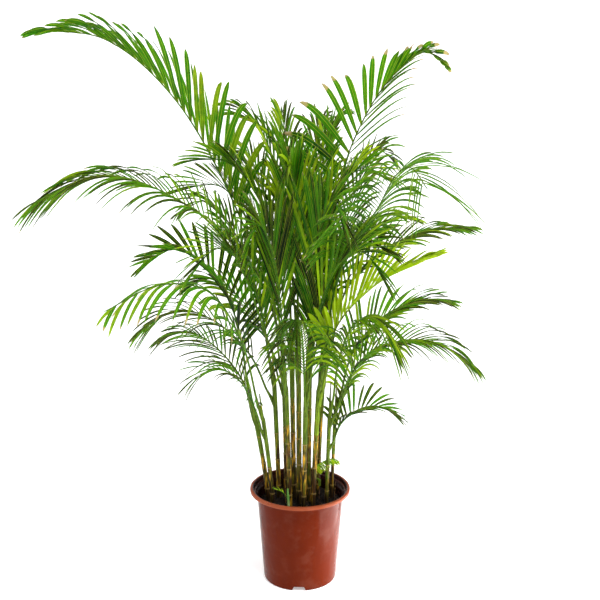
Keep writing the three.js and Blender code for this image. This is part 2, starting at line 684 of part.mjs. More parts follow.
// A leaflet as a closed solid of its own, for the clearance tests. from leaves out its first rings.
function leafletSolid({ root, rings, tip }, from = 0) {
  const all = [root, ...rings].slice(from);
  const points = [...all.flat(), tip];
  const ringAt = (k) => [0, 1, 2, 3].map((j) => k * 4 + j);
  const faces = leafletFaces(ringAt, all.length, points.length - 1);
  faces.push([0, 2, 1], [0, 3, 2]);
  return solidOf(facets(points, faces));
}

// The whole frond as one closed skin: rib, end point and the leaflets that it keeps.
function frondGeometry(rings, leaflets, tip) {
  const points = rings.flatMap((ring) => ring.corners);
  const faces = [];
  for (let k = 0; k + 1 < rings.length; k++) {
    for (let j = 0; j < 3; j++) {
      const next = (j + 1) % 3;
      const leaflet = leaflets.get(k)?.[j];
      const root = [k * 3 + j, k * 3 + next, (k + 1) * 3 + next, (k + 1) * 3 + j];
      if (leaflet) {
        const from = points.length;
        points.push(...leaflet.rings.flat(), leaflet.tip);
        const ringAt = (r) => (r === 0 ? root : [0, 1, 2, 3].map((c) => from + (r - 1) * 4 + c));
        faces.push(...leafletFaces(ringAt, leaflet.rings.length + 1, points.length - 1));
      } else {
        faces.push([root[0], root[1], root[2]], [root[0], root[2], root[3]]);
      }
    }
  }
  const last = (rings.length - 1) * 3;
  points.push(tip);
  for (let j = 0; j < 3; j++) faces.push([last + j, last + ((j + 1) % 3), points.length - 1]);
  faces.push([0, 2, 1]);
  return facets(points, faces);
}

// ---- Clearance ----

function boxed(solid, name) {
  return { name, solid, box: solid.boundingBox() };
}

function boxesMeet(a, b, margin) {
  return [0, 1, 2].every((i) => a.min[i] - margin < b.max[i] && b.min[i] - margin < a.max[i]);
}

// Whether a solid keeps its gap to all the others.
function isClear(solid, others) {
  const box = solid.boundingBox();
  return others.every((other) => !boxesMeet(box, other.box, CLEAR_GAP)
    || solid.minGap(other.solid, CLEAR_GAP * 2) >= CLEAR_GAP);
}

// ---- Assembly ----
const group = new THREE.Group();

function addPiece(name, geometry, look) {
  geometry.computeVertexNormals();
  const mesh = new THREE.Mesh(geometry, new THREE.MeshStandardMaterial(look));
  mesh.name = name;
  group.add(mesh);
}

const standing = []; // canes and stumps
const holes = [];
for (const [name, cane] of Object.entries(CANES)) {
  standing.push(boxed(makeCane(cane), name));
  holes.push(makeCane(cane, SEAT_GAP));
}
for (const [name, post] of Object.entries(POSTS)) {
  standing.push(boxed(makePost(post), name));
  holes.push(makePost(post, SEAT_GAP));
}
const pot = boxed(makePot(), "pot");
const soil = boxed(makeSoil(holes), "soil");

// Ribs come first: each is turned a little until it passes clear of what stands before it.
const TRY_TURNS = [0, 2, -2, 4, -4, 6, -6, 9, -9, 12, -12, 15, -15, 19, -19, 24, -24];
const SEAT_STEPS = 4; // moves of a rib towards its seat
const SEAT_SLACK = 0.04;

// The rib of a frond at one turn, moved until it lies at its gap beside the cane that carries it.
function seatRib(frond, turn, carrier) {
  let seatOut = (CANES[frond.cane] ?? POSTS[frond.cane]).radius + PETIOLE_RADIUS;
  let rib = null;
  for (let step = 0; step < SEAT_STEPS; step++) {
    const curve = ribCurve(frond, turn, seatOut);
    const rings = ribRings(frond, curve, turn);
    const tip = curve.getPointAt(1);
    const solid = solidOf(frondGeometry(rings, new Map(), tip));
    const gap = solid.minGap(carrier.solid, PETIOLE_RADIUS * 2);
    rib = { rings, tip, solid, gap };
    if (Math.abs(gap - SEAT_GAP) < SEAT_SLACK) break;
    seatOut += gap > 0 ? SEAT_GAP - gap : SEAT_GAP * 2;
  }
  return rib;
}

const ribs = [];
for (const [name, own] of Object.entries({ ...FRONDS, ...SHOOTS })) {
  const frond = { ...USUAL, ...own };
  const carrier = standing.find((piece) => piece.name === frond.cane);
  const others = [...standing.filter((piece) => piece !== carrier), ...ribs];
  const rib = TRY_TURNS
    .map((extra) => THREE.MathUtils.degToRad(frond.turn + extra))
    .reduce((found, turn) => {
      if (found) return found;
      const made = seatRib(frond, turn, carrier);
      return made.gap >= SEAT_GAP / 2 && isClear(made.solid, others) ? made : null;
    }, null);
  if (!rib) throw new Error("no clear way for the rib of " + name);
  ribs.push({ ...boxed(rib.solid, name), ...rib, frond });
}

// Then leaflets one by one: each keeps its own way, or is swung (degrees) or shortened until it
// is clear, and is left out where nothing helps.
const TRIES = [[0, 1], [12, 1], [-12, 1], [-24, 1], [20, 1], [0, 0.8], [-36, 1], [14, 0.7],
  [-14, 0.7], [-30, 0.6], [0, 0.5]];
const SIDES = [[2, 1], [1, -1]]; // the rib's face that a leaflet grows from, and its hand
const placed = [];

function placeLeaflet(rib, ringAt, share, hand, partner) {
  const others = [...standing, ...ribs.filter((other) => other !== rib), ...placed];
  for (const [swing, scale] of TRIES) {
    const [low, high] = [rib.rings[ringAt], rib.rings[ringAt + 1]];
    const leaflet = makeLeaflet(rib.frond, low, high, share, hand, swing, scale);
    const whole = leafletSolid(leaflet);
    const outer = leafletSolid(leaflet, 1);
    if (isClear(whole, others) && isClear(outer, [rib, pot, soil, ...partner])) {
      return { leaflet, whole: boxed(whole), outer: boxed(outer) };
    }
  }
  return null;
}

for (const rib of ribs) {
  const leaflets = new Map();
  const { rings, frond } = rib;
  rings.forEach((low, ringAt) => {
    if (low.pair === undefined) return;
    const pair = [];
    for (const [face, hand] of SIDES) {
      // The two leaflets of a pair meet at their roots, so only their outer parts are compared.
      const partner = pair.map((made) => made.outer);
      const made = placeLeaflet(rib, ringAt, low.pair / frond.pairs, hand, partner);
      if (!made) continue;
      leaflets.set(ringAt, { ...leaflets.get(ringAt), [face]: made.leaflet });
      pair.push(made);
    }
    placed.push(...pair.map((made) => made.whole));
  });
  rib.geometry = frondGeometry(rings, leaflets, rib.tip);
}

addPiece("pot", geometryOf(pot.solid), LOOKS.pot);
addPiece("soil", geometryOf(soil.solid), LOOKS.soil);
for (const { name, solid } of standing) {
  addPiece(name, geometryOf(solid), name === "old_stump" ? LOOKS.stump : LOOKS.cane);
}
for (const { name, geometry } of ribs) addPiece(name, geometry, LOOKS.frond);

export default group;
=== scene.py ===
# %% [markdown]
# # A potted areca palm
# A clump of slim ringed canes stands in a brown plastic nursery pot, and long feathered fronds
# arch out of it to all sides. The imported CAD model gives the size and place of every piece. This
# script dresses it: each cell explains one piece or finish before the cell that makes it.
# Everything is in metres, +Z is up, the pot's axis is Z and the front of the plant faces -Y.

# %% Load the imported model
import math

import bmesh
import bpy
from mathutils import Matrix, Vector


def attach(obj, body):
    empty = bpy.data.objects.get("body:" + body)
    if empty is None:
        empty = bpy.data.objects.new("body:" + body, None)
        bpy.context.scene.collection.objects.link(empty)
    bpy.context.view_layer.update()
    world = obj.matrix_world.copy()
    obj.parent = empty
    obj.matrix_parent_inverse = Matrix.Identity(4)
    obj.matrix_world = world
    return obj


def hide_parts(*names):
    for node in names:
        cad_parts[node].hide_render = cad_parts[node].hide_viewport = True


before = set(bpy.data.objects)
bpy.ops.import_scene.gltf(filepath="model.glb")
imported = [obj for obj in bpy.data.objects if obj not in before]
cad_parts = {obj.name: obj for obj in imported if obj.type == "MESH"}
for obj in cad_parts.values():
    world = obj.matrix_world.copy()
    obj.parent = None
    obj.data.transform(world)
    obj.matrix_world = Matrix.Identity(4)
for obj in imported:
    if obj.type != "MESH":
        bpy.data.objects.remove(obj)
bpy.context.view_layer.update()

MM = 0.001

# %% [markdown]
# ## Camera
# The photograph is taken from two and a half metres in front of the pot, at the height of the
# plant's top, looking down by a little over fourteen degrees. The rim and foot of the pot, seen as
# two ellipses, give this place and a focal length of 67 mm on a sensor 36 mm wide.

# %% Place the camera
def new_object(name, data):
    """An object in the scene with this mesh, camera or light."""
    made = bpy.data.objects.new(name, data)
    bpy.context.scene.collection.objects.link(made)
    return made


CAMERA_PLACE = (0, -2.5, 1.337)
CAMERA_PITCH = math.radians(90 - 14.44)
camera_data = bpy.data.cameras.new("Photo camera")
camera_data.lens = 67.26
camera_data.sensor_width = 36
camera = new_object("Photo camera", camera_data)
camera.location = CAMERA_PLACE
camera.rotation_euler = (CAMERA_PITCH, 0, 0)
bpy.context.scene.camera = camera
print("Camera at", CAMERA_PLACE, "lens", camera_data.lens)

# %% [markdown]
# ## Writing node trees like sums
# Nearly everything on a palm repeats by a rule, so Geometry Nodes grow it and shader nodes colour
# it. A tree of a hundred nodes is hard to read as a list of links. Here a Flow is one output of a
# node, and a sign between two flows makes the Math node for it, so that `start * length + middle`
# is both the formula and the tree.

# %% Flow
def is_vector(value):
    if isinstance(value, Flow):
        return value.socket.type == "VECTOR"
    return isinstance(value, (tuple, Vector))


class Flow:
    """One output of a node. Signs between flows make Math nodes."""

    def __init__(self, tree, socket):
        self.tree = tree
        self.socket = socket

    def __add__(self, other):
        return self.tree.math("ADD", self, other)

    def __radd__(self, other):
        return self.tree.math("ADD", other, self)

    def __sub__(self, other):
        return self.tree.math("SUBTRACT", self, other)

    def __rsub__(self, other):
        return self.tree.math("SUBTRACT", other, self)

    def __mul__(self, other):
        return self.tree.times(self, other)

    def __rmul__(self, other):
        return self.tree.times(self, other)

    def __truediv__(self, other):
        return self.tree.math("DIVIDE", self, other)

    def __pow__(self, other):
        return self.tree.math("POWER", self, other)

    def also(self, name):
        """Another output of the same node."""
        return Flow(self.tree, self.socket.node.outputs[name])


print("Helper ready: Flow")

# %% [markdown]
# A Tree is a node tree with one short call for each kind of node that the palm needs. A value that
# is fed to a socket may be a flow, which becomes a link, or a plain number, which is written into
# the socket. None leaves the socket as it is.

# %% Tree
NOISE_ROUGHNESS = 0.55


class Tree:
    """A node tree that is built by short calls."""

    def __init__(self, node_tree):
        self.group = node_tree
        self.nodes = node_tree.nodes

    def open_group(self, inputs):
        """Gives a group its named inputs, and its two ends."""
        for label, kind in inputs.items():
            self.group.interface.new_socket(label, in_out="INPUT",
                                            socket_type="NodeSocket" + kind)
        source = self.nodes.new("NodeGroupInput")
        self.given = {socket.name: Flow(self, socket) for socket in source.outputs if socket.name}
        self.sink = self.nodes.new("NodeGroupOutput")

    def feed(self, socket, value):
        if isinstance(value, Flow):
            self.group.links.new(value.socket, socket)
        elif value is not None:
            socket.default_value = value

    def put(self, kind, *values, out=0, **settings):
        node = self.nodes.new(kind)
        for name, value in settings.items():
            setattr(node, name, value)
        for socket, value in zip([s for s in node.inputs if s.enabled], values):
            self.feed(socket, value)
        if isinstance(out, str):
            return Flow(self, node.outputs[out])
        return Flow(self, [s for s in node.outputs if s.enabled][out])

    def math(self, operation, *values):
        kind = "ShaderNodeVectorMath" if any(map(is_vector, values)) else "ShaderNodeMath"
        return self.put(kind, *values, operation=operation)

    def times(self, a, b):
        if is_vector(a) == is_vector(b):
            return self.math("MULTIPLY", a, b)
        vector, factor = (a, b) if is_vector(a) else (b, a)
        return self.put("ShaderNodeVectorMath", vector, factor, operation="SCALE")

    def dot(self, a, b):
        return self.put("ShaderNodeVectorMath", a, b, operation="DOT_PRODUCT", out="Value")

    def unit(self, a):
        return self.math("NORMALIZE", a)

    def towards(self, a, b, angle):
        """a turned by an angle towards b, which stands square to it."""
        return a * self.math("COSINE", angle) + b * self.math("SINE", angle)

    def between(self, a, b, share):
        return a + (b - a) * share

    def smooth(self, value, low, high):
        """0 below low, 1 above high, and a soft slope between."""
        return self.put("ShaderNodeMapRange", value, low, high, 0.0, 1.0,
                        interpolation_type="SMOOTHSTEP")

    def noise(self, vector, scale, detail=3.0):
        return self.put("ShaderNodeTexNoise", vector, scale, detail, NOISE_ROUGHNESS)

    def curve(self, value, points):
        """A value read off a curve drawn through points."""
        flow = self.put("ShaderNodeFloatCurve", 1.0, value)
        drawn = flow.socket.node.mapping.curves[0].points
        for point in points[2:]:
            drawn.new(*point)
        for point, place in zip(drawn, sorted(points)):
            point.location = place
        flow.socket.node.mapping.update()
        return flow

    def vector(self, x, y, z):
        return self.put("ShaderNodeCombineXYZ", x, y, z)

    def parts(self, vector):
        x = self.put("ShaderNodeSeparateXYZ", vector)
        return x, x.also("Y"), x.also("Z")


print("Helper ready: Tree")

# %% [markdown]
# A Geometry Nodes group gets named inputs for its sizes, so that one tree grows many pieces. A
# value can be stored on the points by one node and read by another, or by a material. The names
# that start with way_ are for the tree alone, and its end removes them.

# %% Geometry trees
class GeometryTree(Tree):
    """A Geometry Nodes group with named inputs. Its first input and output is the geometry."""

    def __init__(self, name, inputs):
        super().__init__(bpy.data.node_groups.new(name, "GeometryNodeTree"))
        self.group.interface.new_socket("Geometry", in_out="OUTPUT",
                                        socket_type="NodeSocketGeometry")
        self.open_group({"Geometry": "Geometry", **inputs})

    def store(self, geometry, name, value, data_type="FLOAT"):
        return self.put("GeometryNodeStoreNamedAttribute", geometry, None, name, value,
                        data_type=data_type, domain="POINT")

    def read(self, name, data_type="FLOAT"):
        return self.put("GeometryNodeInputNamedAttribute", name, data_type=data_type)

    def chance(self, low, high, number):
        """A random value for each point. Each use in a tree has its own number."""
        return self.put("FunctionNodeRandomValue", low, high, None, self.given["Seed"] + number,
                        data_type="FLOAT")

    def join(self, *geometries):
        node = self.nodes.new("GeometryNodeJoinGeometry")
        for geometry in geometries:
            self.feed(node.inputs[0], geometry)
        return Flow(self, node.outputs[0])

    def paint(self, geometry, finish):
        return self.put("GeometryNodeSetMaterial", geometry, None, finish)

    def soften(self, geometry):
        return self.put("GeometryNodeSetShadeSmooth", geometry, None, True)

    def end(self, geometry):
        """Real geometry, without the attributes that only the tree's own sums read."""
        real = self.put("GeometryNodeRealizeInstances", geometry)
        bare = self.put("GeometryNodeRemoveAttribute", real, "way_*", pattern_mode="WILDCARD")
        self.feed(self.sink.inputs[0], bare)
        print("Tree", self.group.name, "has", len(self.nodes), "nodes")


print("Helper ready: GeometryTree")

# %% [markdown]
# A tree works on an object as a modifier. What it gives is then turned into a plain mesh, the piece
# is told which body it rides on, and the CAD node it stands for is hidden.

# %% Growing a piece and seating it
def mesh_object(name, points, edges=(), faces=()):
    mesh = bpy.data.meshes.new(name)
    mesh.from_pydata(points, edges, faces)
    return new_object(name, mesh)


def line_object(name, points):
    """A path for a tree to follow: points joined in order."""
    return mesh_object(name, points, [(k, k + 1) for k in range(len(points) - 1)])


def plain(piece):
    """Turns a piece with live modifiers into a plain mesh."""
    evaluated = piece.evaluated_get(bpy.context.evaluated_depsgraph_get())
    mesh = bpy.data.meshes.new_from_object(evaluated)
    mesh.name = piece.name
    piece.modifiers.clear()
    piece.data = mesh
    return piece


def grow(tree, source, **sizes):
    """Runs a tree on an object with the sizes for its named inputs."""
    modifier = source.modifiers.new(tree.group.name, "NODES")
    modifier.node_group = tree.group
    items = tree.group.interface.items_tree
    sockets = {item.name: item.identifier for item in items if item.in_out == "INPUT"}
    for label, size in sizes.items():
        modifier[sockets[label.replace("_", " ")]] = size
    return plain(source)


def seat(piece, slot, *nodes):
    """The piece rides with the pot and hides the CAD nodes it stands for. The slot is not used."""
    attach(piece, "root")
    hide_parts(*nodes)


print("Helpers ready: mesh_object, line_object, grow, seat")

# %% [markdown]
# ## Finishes that share effects
# Plants and pots are never one flat colour. Two effects come back in nearly every finish: soft
# blotches, where a surface is a little lighter or darker, and long streaks that run up a stem or
# a leaf. Each is built once as a shader node group and put in each material with its own values.

# %% Colours and the shared effects
def srgb(red, green, blue):
    """A colour as a paint program names it (0 to 255), turned into the light it stands for."""
    def light(value):
        value /= 255
        return value / 12.92 if value <= 0.04045 else ((value + 0.055) / 1.055) ** 2.4
    return (light(red), light(green), light(blue), 1.0)


class Effect(Tree):
    """A shader node group with named inputs and one value as its output."""

    def __init__(self, name, inputs):
        super().__init__(bpy.data.node_groups.new(name, "ShaderNodeTree"))
        self.group.interface.new_socket("Mask", in_out="OUTPUT", socket_type="NodeSocketFloat")
        self.open_group(inputs)


def blotches():
    effect = Effect("Blotches", {"Place": "Vector", "Size": "Float", "Low": "Float",
                                 "High": "Float"})
    given = effect.given
    cloud = effect.noise(given["Place"], effect.math("DIVIDE", 1.0, given["Size"]))
    mask = effect.smooth(cloud, given["Low"], given["High"])
    effect.feed(effect.sink.inputs[0], mask)
    return effect.group


def streaks():
    effect = Effect("Streaks", {"Place": "Vector", "Width": "Float", "Length": "Float",
                                "Low": "Float", "High": "Float"})
    given = effect.given
    x, y, z = effect.parts(given["Place"])
    fine = effect.math("DIVIDE", 1.0, given["Width"])
    long = effect.math("DIVIDE", 1.0, given["Length"])
    cloud = effect.noise(effect.vector(x * fine, y * fine, z * long), 1.0, 2.0)
    effect.feed(effect.sink.inputs[0], effect.smooth(cloud, given["Low"], given["High"]))
    return effect.group


BLOTCHES = blotches()
STREAKS = streaks()
print("Effects:", BLOTCHES.name, STREAKS.name)

# %% [markdown]
# A finish is one material round a Principled shader. Values that are the same everywhere stand on
# the shader's own sockets, and only what changes over the surface comes from nodes.

# %% A finish
class Finish(Tree):
    """A material round one Principled shader, whose plain sockets are set by name."""

    def __init__(self, name, **plain_values):
        self.material = bpy.data.materials.new(name)
        self.material.use_nodes = True
        super().__init__(self.material.node_tree)
        self.shader = self.nodes["Principled BSDF"]
        for label, value in plain_values.items():
            self.shader.inputs[label.replace("_", " ")].default_value = value
        self.place = self.put("ShaderNodeTexCoord", out="Object")

    def read(self, name):
        return self.put("ShaderNodeAttribute", attribute_name=name, out="Fac")

    def effect(self, group, **values):
        node = self.nodes.new("ShaderNodeGroup")
        node.node_tree = group
        self.feed(node.inputs["Place"], self.place)
        for label, value in values.items():
            self.feed(node.inputs[label], value)
        return Flow(self, node.outputs["Mask"])

    def mix(self, share, a, b):
        return self.put("ShaderNodeMix", share, a, b, data_type="RGBA")

    def colour(self, flow):
        self.feed(self.shader.inputs["Base Color"], flow)

    def rough(self, share, low, high):
        self.feed(self.shader.inputs["Roughness"], self.between(low, high, share))

    def bump(self, height, depth, strength):
        bump = self.put("ShaderNodeBump", strength, depth)
        self.feed(bump.socket.node.inputs["Height"], height)
        self.feed(self.shader.inputs["Normal"], bump)


print("Helper ready: Finish")

# %% [markdown]
# ## Leaf finish
# A palm leaflet is folded along a pale midrib, has pale margins and fine lines along it. Each
# leaflet has a tone of its own, old tips dry out to tan, and light comes through the thin blade,
# which is what makes leaves glow where one lies behind another. The tone is partly painted light
# and shade too: its near-black end is painted shade, and its bright yellow-green end is partly
# painted light. The tree that grows a frond leaves the numbers for this on the mesh: along and
# across the leaflet, its tone and how far it is dry.

# %% Leaf and rib finishes
# LEAF_DARK, nearly black, is painted shade at the low end of the tone as well as the colour of the
# fine lines; LEAF_BRIGHT at the high end is partly painted light.
LEAF_DARK = srgb(4, 20, 1)
LEAF_MID = srgb(37, 97, 2)
LEAF_BRIGHT = srgb(156, 202, 8)
LEAF_PALE = srgb(196, 216, 60)
LEAF_DRY = srgb(168, 142, 96)
LEAF_ROOT = srgb(140, 156, 40)
LEAF_LINES = 42.0  # radians from the fold to a margin, which makes nearly seven fine lines


def leaf_finish():
    finish = Finish("Palm leaf", Specular_IOR_Level=0.08, Subsurface_Weight=0.3,
                    Subsurface_Scale=0.01)
    finish.shader.inputs["Subsurface Radius"].default_value = (0.5, 0.9, 0.15)
    along = finish.read("along")
    across = finish.read("across")
    tone = finish.read("tone")
    patches = finish.effect(BLOTCHES, Size=0.05, Low=0.3, High=0.7)
    tone = tone + (patches - 0.5) * 0.18
    # From painted shade at a low tone, through the leaflet's green, to yellow-green that is partly
    # painted light.
    green = finish.mix(finish.smooth(tone, 0.0, 0.5), LEAF_DARK, LEAF_MID)
    green = finish.mix(finish.smooth(tone, 0.5, 1.0), green, LEAF_BRIGHT)
    off_middle = finish.math("ABSOLUTE", across)
    midrib = 1 - finish.smooth(off_middle, 0.03, 0.13)
    margin = finish.smooth(across, 0.72, 0.98)
    lines = finish.math("SINE", across * LEAF_LINES)
    green = finish.mix((lines * 0.5 + 0.5) * 0.14, green, LEAF_DARK)
    green = finish.mix(midrib * 0.35, green, LEAF_PALE)
    green = finish.mix(margin * 0.3, green, LEAF_PALE)
    root = 1 - finish.smooth(along, 0.0, 0.07)
    green = finish.mix(root * 0.7, green, LEAF_ROOT)
    dryness = finish.read("dry")
    dry_edge = along + finish.noise(finish.place, 90.0) * 0.12
    dry = finish.smooth(dry_edge, 1.07 - dryness, 1.12 - dryness)
    finish.colour(finish.mix(dry, green, LEAF_DRY))
    finish.rough(patches, 0.4, 0.55)
    finish.bump(lines * 0.5 + midrib, 0.0004, 0.5)
    return finish.material


def rib_finish():
    finish = Finish("Palm rib", Specular_IOR_Level=0.12, Subsurface_Weight=0.15,
                    Subsurface_Scale=0.004)
    finish.shader.inputs["Subsurface Radius"].default_value = (0.8, 1.0, 0.3)
    along = finish.read("along")
    tone = finish.read("tone")
    green = finish.mix(finish.smooth(along, 0.0, 0.4), srgb(96, 122, 24), srgb(70, 118, 18))
    # Paler where the frond's tint is high, which is partly painted light, as on the leaflets.
    green = finish.mix(finish.smooth(tone, 0.5, 1.0), green, srgb(136, 166, 36))
    specks = finish.effect(STREAKS, Width=0.0016, Length=0.07, Low=0.42, High=0.62)
    green = finish.mix(specks * 0.75, green, srgb(30, 44, 8))
    finish.colour(green)
    finish.rough(specks, 0.38, 0.55)
    finish.bump(specks, 0.0003, 0.4)
    return finish.material


LEAF = leaf_finish()
RIB = rib_finish()
print("Finishes:", LEAF.name, RIB.name)

# %% [markdown]
# ## The rule of a frond
# A frond leaves its cane at a height and in a direction, and its rib lies in one upright plane: it
# climbs, arches over and ends in a thin point. Pairs of leaflets stand on the rib's upper side in a
# V, nearly square to it near the petiole and swept forward towards the tip. Each leaflet leaves
# straight and bends down under its weight.
#
# The canes and the ribs in this table are those of the CAD part, in millimetres and degrees: where
# a frond leaves, its direction, and its rib as pairs of reach and height. The leaflets' values were
# set against the photograph:
#
# - leaf and wide: length and width of the fullest leaflets, taper: how much shorter the last are
# - lift: how steep the V is, roll: how far the V is turned round the rib
# - droop: how far a leaflet bends down, hook: how late along it the bend comes
# - sweep and close: the angle between leaflet and rib, near the petiole and near the tip
# - edge: how far the row on the under side of a rolled frond shows its edge
# - bare: the share of the rib without leaflets, pairs: their number, stagger: how far the two
#   leaflets of a pair stand apart along the rib
# - tint, varied and dry: the tone from dark to yellow-green, which is partly painted shade and
#   light (low on fronds in shade, high on lit ones), how much it differs from leaflet to leaflet,
#   and how far the tips have dried
# - scale: thickness of the rib and the blades, 1 on a grown frond

# %% The table of canes
SOIL_TOP = 192
CANES = {
    "cane_01": {"foot": (-76, 2), "top": (-124, 8, 500), "radius": 5.5},
    "cane_02": {"foot": (-64, -26), "top": (-94, -42, 480), "radius": 5},
    "cane_03": {"foot": (-51, 22), "top": (-66, 34, 580), "radius": 5.5},
    "cane_04": {"foot": (-24, -34), "top": (-36, -50, 600), "radius": 5.5},
    "cane_05": {"foot": (-15, 26), "top": (-22, 38, 680), "radius": 6},
    "cane_06": {"foot": (-2, -8), "top": (-4, -6, 700), "radius": 6.5},
    "cane_07": {"foot": (9, -42), "top": (16, -60, 600), "radius": 5.5},
    "cane_08": {"foot": (20, 8), "top": (24, 14, 680), "radius": 6.5},
    "cane_09": {"foot": (31, -26), "top": (50, -38, 600), "radius": 6},
    "cane_10": {"foot": (42, 30), "top": (62, 44, 630), "radius": 6},
    "cane_11": {"foot": (64, -12), "top": (72, -15, 500), "radius": 4.5},
    "cane_12": {"foot": (77, 22), "top": (88, 30, 490), "radius": 4.2},
    "cane_13": {"foot": (-34, 56), "top": (-42, 78, 590), "radius": 5},
    "cane_14": {"foot": (16, 60), "top": (22, 84, 600), "radius": 5.5},
}
POSTS = {
    "cut_cane_left": {"foot": (-35, -8), "top": (-36, -10, 305), "radius": 7},
    "cut_cane_right": {"foot": (60, 14), "top": (66, 14, 268), "radius": 5.5},
    "cut_cane_small": {"foot": (82, -8), "top": (85, -8, 246), "radius": 4.5},
    "young_shoot": {"foot": (-27, -62), "top": (-29, -64, 252), "radius": 3.4},
    "old_stump": {"foot": (46, 2), "top": (48, 4, 262), "radius": 9.5},
}
print(len(CANES), "canes,", len(POSTS), "posts")

# %% The leaflets' usual values
USUAL = {
    "leaf": 160, "wide": 11, "lift": 32, "roll": 0, "droop": 0.7, "hook": 2.6, "sweep": 50,
    "close": 15, "edge": 0, "taper": 0.66, "stagger": 0.2, "bare": 0.28, "pairs": 22, "tint": 0.45,
    "varied": 1, "dry": 0.05, "scale": 1,
}
STEEP = {"wide": 8, "lift": 38, "sweep": 20, "close": 6, "pairs": 26}  # upright young fronds
BEHIND = {"wide": 9, "sweep": 32, "close": 10}  # fronds at the back, seen through the others
# Painted shade: the low fronds on the left are backlit and dark, so they get a very low tint.
LOW_LEFT = {"wide": 8, "lift": 26, "roll": -25, "droop": 1.2, "hook": 2, "sweep": 42, "close": 12,
            "edge": 55, "pairs": 20, "tint": 0.05}


def frond(cane, base, turn, *rib, kind=USUAL, **own):
    """One frond: the cane and height it leaves at, its direction in degrees, its rib's points."""
    carrier = cane if isinstance(cane, str) else f"cane_{cane:02}"
    return {**USUAL, **kind, **own, "cane": carrier, "base": base, "turn": math.radians(turn),
            "rib": rib}


print("A usual leaflet is", USUAL["leaf"], "mm long and", USUAL["wide"], "mm wide")

# %% [markdown]
# On the left a very long frond climbs to the top of the plant and arches over, a second one below
# it hangs its fine leaflets in two rows, and smaller ones follow down to the lowest. They are all
# placed one by one, because their outlines stand free.

# %% Fronds on the left
FRONDS = {
    "frond_left_top": frond(5, 520, 186, (95, 825), (255, 1145), (405, 1278), (545, 1298),
        leaf=270, wide=16, lift=80, roll=14, droop=0.72, hook=2.5, sweep=38, close=13, taper=0.73,
        stagger=0.03, bare=0.37, pairs=24, tint=0.42, varied=0.45),
    "frond_left_high": frond(4, 500, 197, (125, 830), (225, 935), (395, 1005), (540, 955),
        leaf=215, wide=9, lift=44, roll=-24, droop=1.25, hook=2, close=14, edge=45, taper=0.65,
        bare=0.3, pairs=42, tint=0.3, varied=0.8),
    "frond_left_mid": frond(1, 430, 186, (40, 655), (105, 775), (175, 815), (250, 780),
        leaf=155, wide=14, lift=40, roll=-30, droop=0.3, sweep=55, close=22, edge=65, tint=0),
    "frond_left_pale": frond(2, 420, 212, (55, 615), (135, 740), (250, 770), (380, 730),
        leaf=135, wide=12, lift=6, roll=-20, droop=1.6, hook=2, sweep=48, close=22, pairs=15,
        tint=0.5, varied=0.5, dry=0.12),
    "frond_left_low": frond(3, 430, 183, (60, 555), (145, 640), (225, 665), (305, 625),
        kind=LOW_LEFT, leaf=175),
    "frond_left_lower": frond(1, 390, 156, (35, 490), (105, 565), (175, 595), (245, 580),
        kind=LOW_LEFT, leaf=165),
    "frond_left_lowest": frond(2, 370, 203, (25, 440), (65, 520), (120, 555), (170, 535),
        kind=LOW_LEFT, leaf=150, lift=24, bare=0.22, pairs=16, tint=0.12),
    "frond_left_back": frond(13, 440, 158, (40, 565), (115, 670), (185, 710), (255, 685),
        leaf=140, wide=9, roll=-20, close=12, tint=0.2),
    "frond_back_top": frond(10, 550, 160, (30, 825), (100, 1025), (190, 1100), (275, 1105),
        kind=BEHIND, lift=35, roll=-20),
}
print(len(FRONDS), "fronds so far")

# %% [markdown]
# On the right the top frond turns its upper row to the eye, so its broad leaflets stand above the
# rib and the lower row shows its edges. Under it a frond comes forward and lets its leaflets hang
# down in an arc, and a young one shines yellow-green.

# %% Fronds on the right
FRONDS.update({
    "frond_right_top": frond(8, 550, 14, (40, 820), (95, 1040), (180, 1185), (265, 1248),
        (325, 1212),
        leaf=195, wide=18, lift=18, roll=52, droop=0.5, hook=3.5, sweep=66, close=6, edge=84,
        taper=0.85, bare=0.38, pairs=23, tint=0.38, varied=0.5, dry=0.17),
    "frond_right_high": frond(9, 490, 306, (60, 750), (115, 845), (200, 940), (258, 1018),
        (300, 1036), (350, 1000),
        leaf=190, wide=10, lift=36, roll=4, droop=1.4, hook=2.1, sweep=58, close=48, edge=60,
        taper=0.3, bare=0.44, pairs=44, tint=0.44, varied=0.5),
    "frond_right_arch": frond(10, 490, 2, (55, 710), (130, 795), (230, 845), (335, 855),
        wide=9, roll=25, sweep=44, close=8, edge=30, pairs=26, tint=0.3),
    "frond_right_back": frond(14, 480, 30, (60, 695), (145, 800), (225, 845), (305, 845),
        wide=9, roll=20, close=10),
    # Its tint over 1 is partly the young frond's own pale green and partly painted light, which
    # keeps it bright in the crown's shade.
    "frond_right_young": frond(9, 450, 344, (40, 635), (120, 735), (190, 785), (255, 820),
        leaf=175, wide=13, lift=42, roll=22, droop=0.3, sweep=46, close=6, bare=0.24, pairs=26,
        tint=1.05, varied=0.4),
    "frond_right_mid": frond(12, 420, 8, (40, 555), (110, 640), (185, 675), (265, 675),
        wide=9, lift=34, roll=25, sweep=40, close=7, edge=30, pairs=24, tint=0.3),
    "frond_right_low": frond(11, 390, 350, (60, 535), (140, 600), (235, 610), (335, 555),
        leaf=150, wide=8, lift=30, roll=22, droop=1.1, sweep=45, close=10, edge=50, taper=0.7,
        pairs=28, tint=0.25),
    "frond_right_lower": frond(12, 380, 25, (30, 465), (75, 535), (125, 560), (175, 550),
        leaf=120, wide=8, roll=20, droop=1.0, close=10, edge=40, bare=0.22, pairs=20),
    "frond_right_lowest": frond(11, 330, 5, (30, 395), (75, 430), (120, 435), (170, 405),
        leaf=95, wide=9, lift=40, roll=34, droop=0.5, sweep=55, close=12, edge=75, bare=0.2,
        pairs=18, tint=0.1),
})
print(len(FRONDS), "fronds so far")

# %% [markdown]
# The fronds in front hide the canes' tops. They are young and steep, so their long leaflets stand
# close along the rib, and the two lowest let theirs hang over the canes.

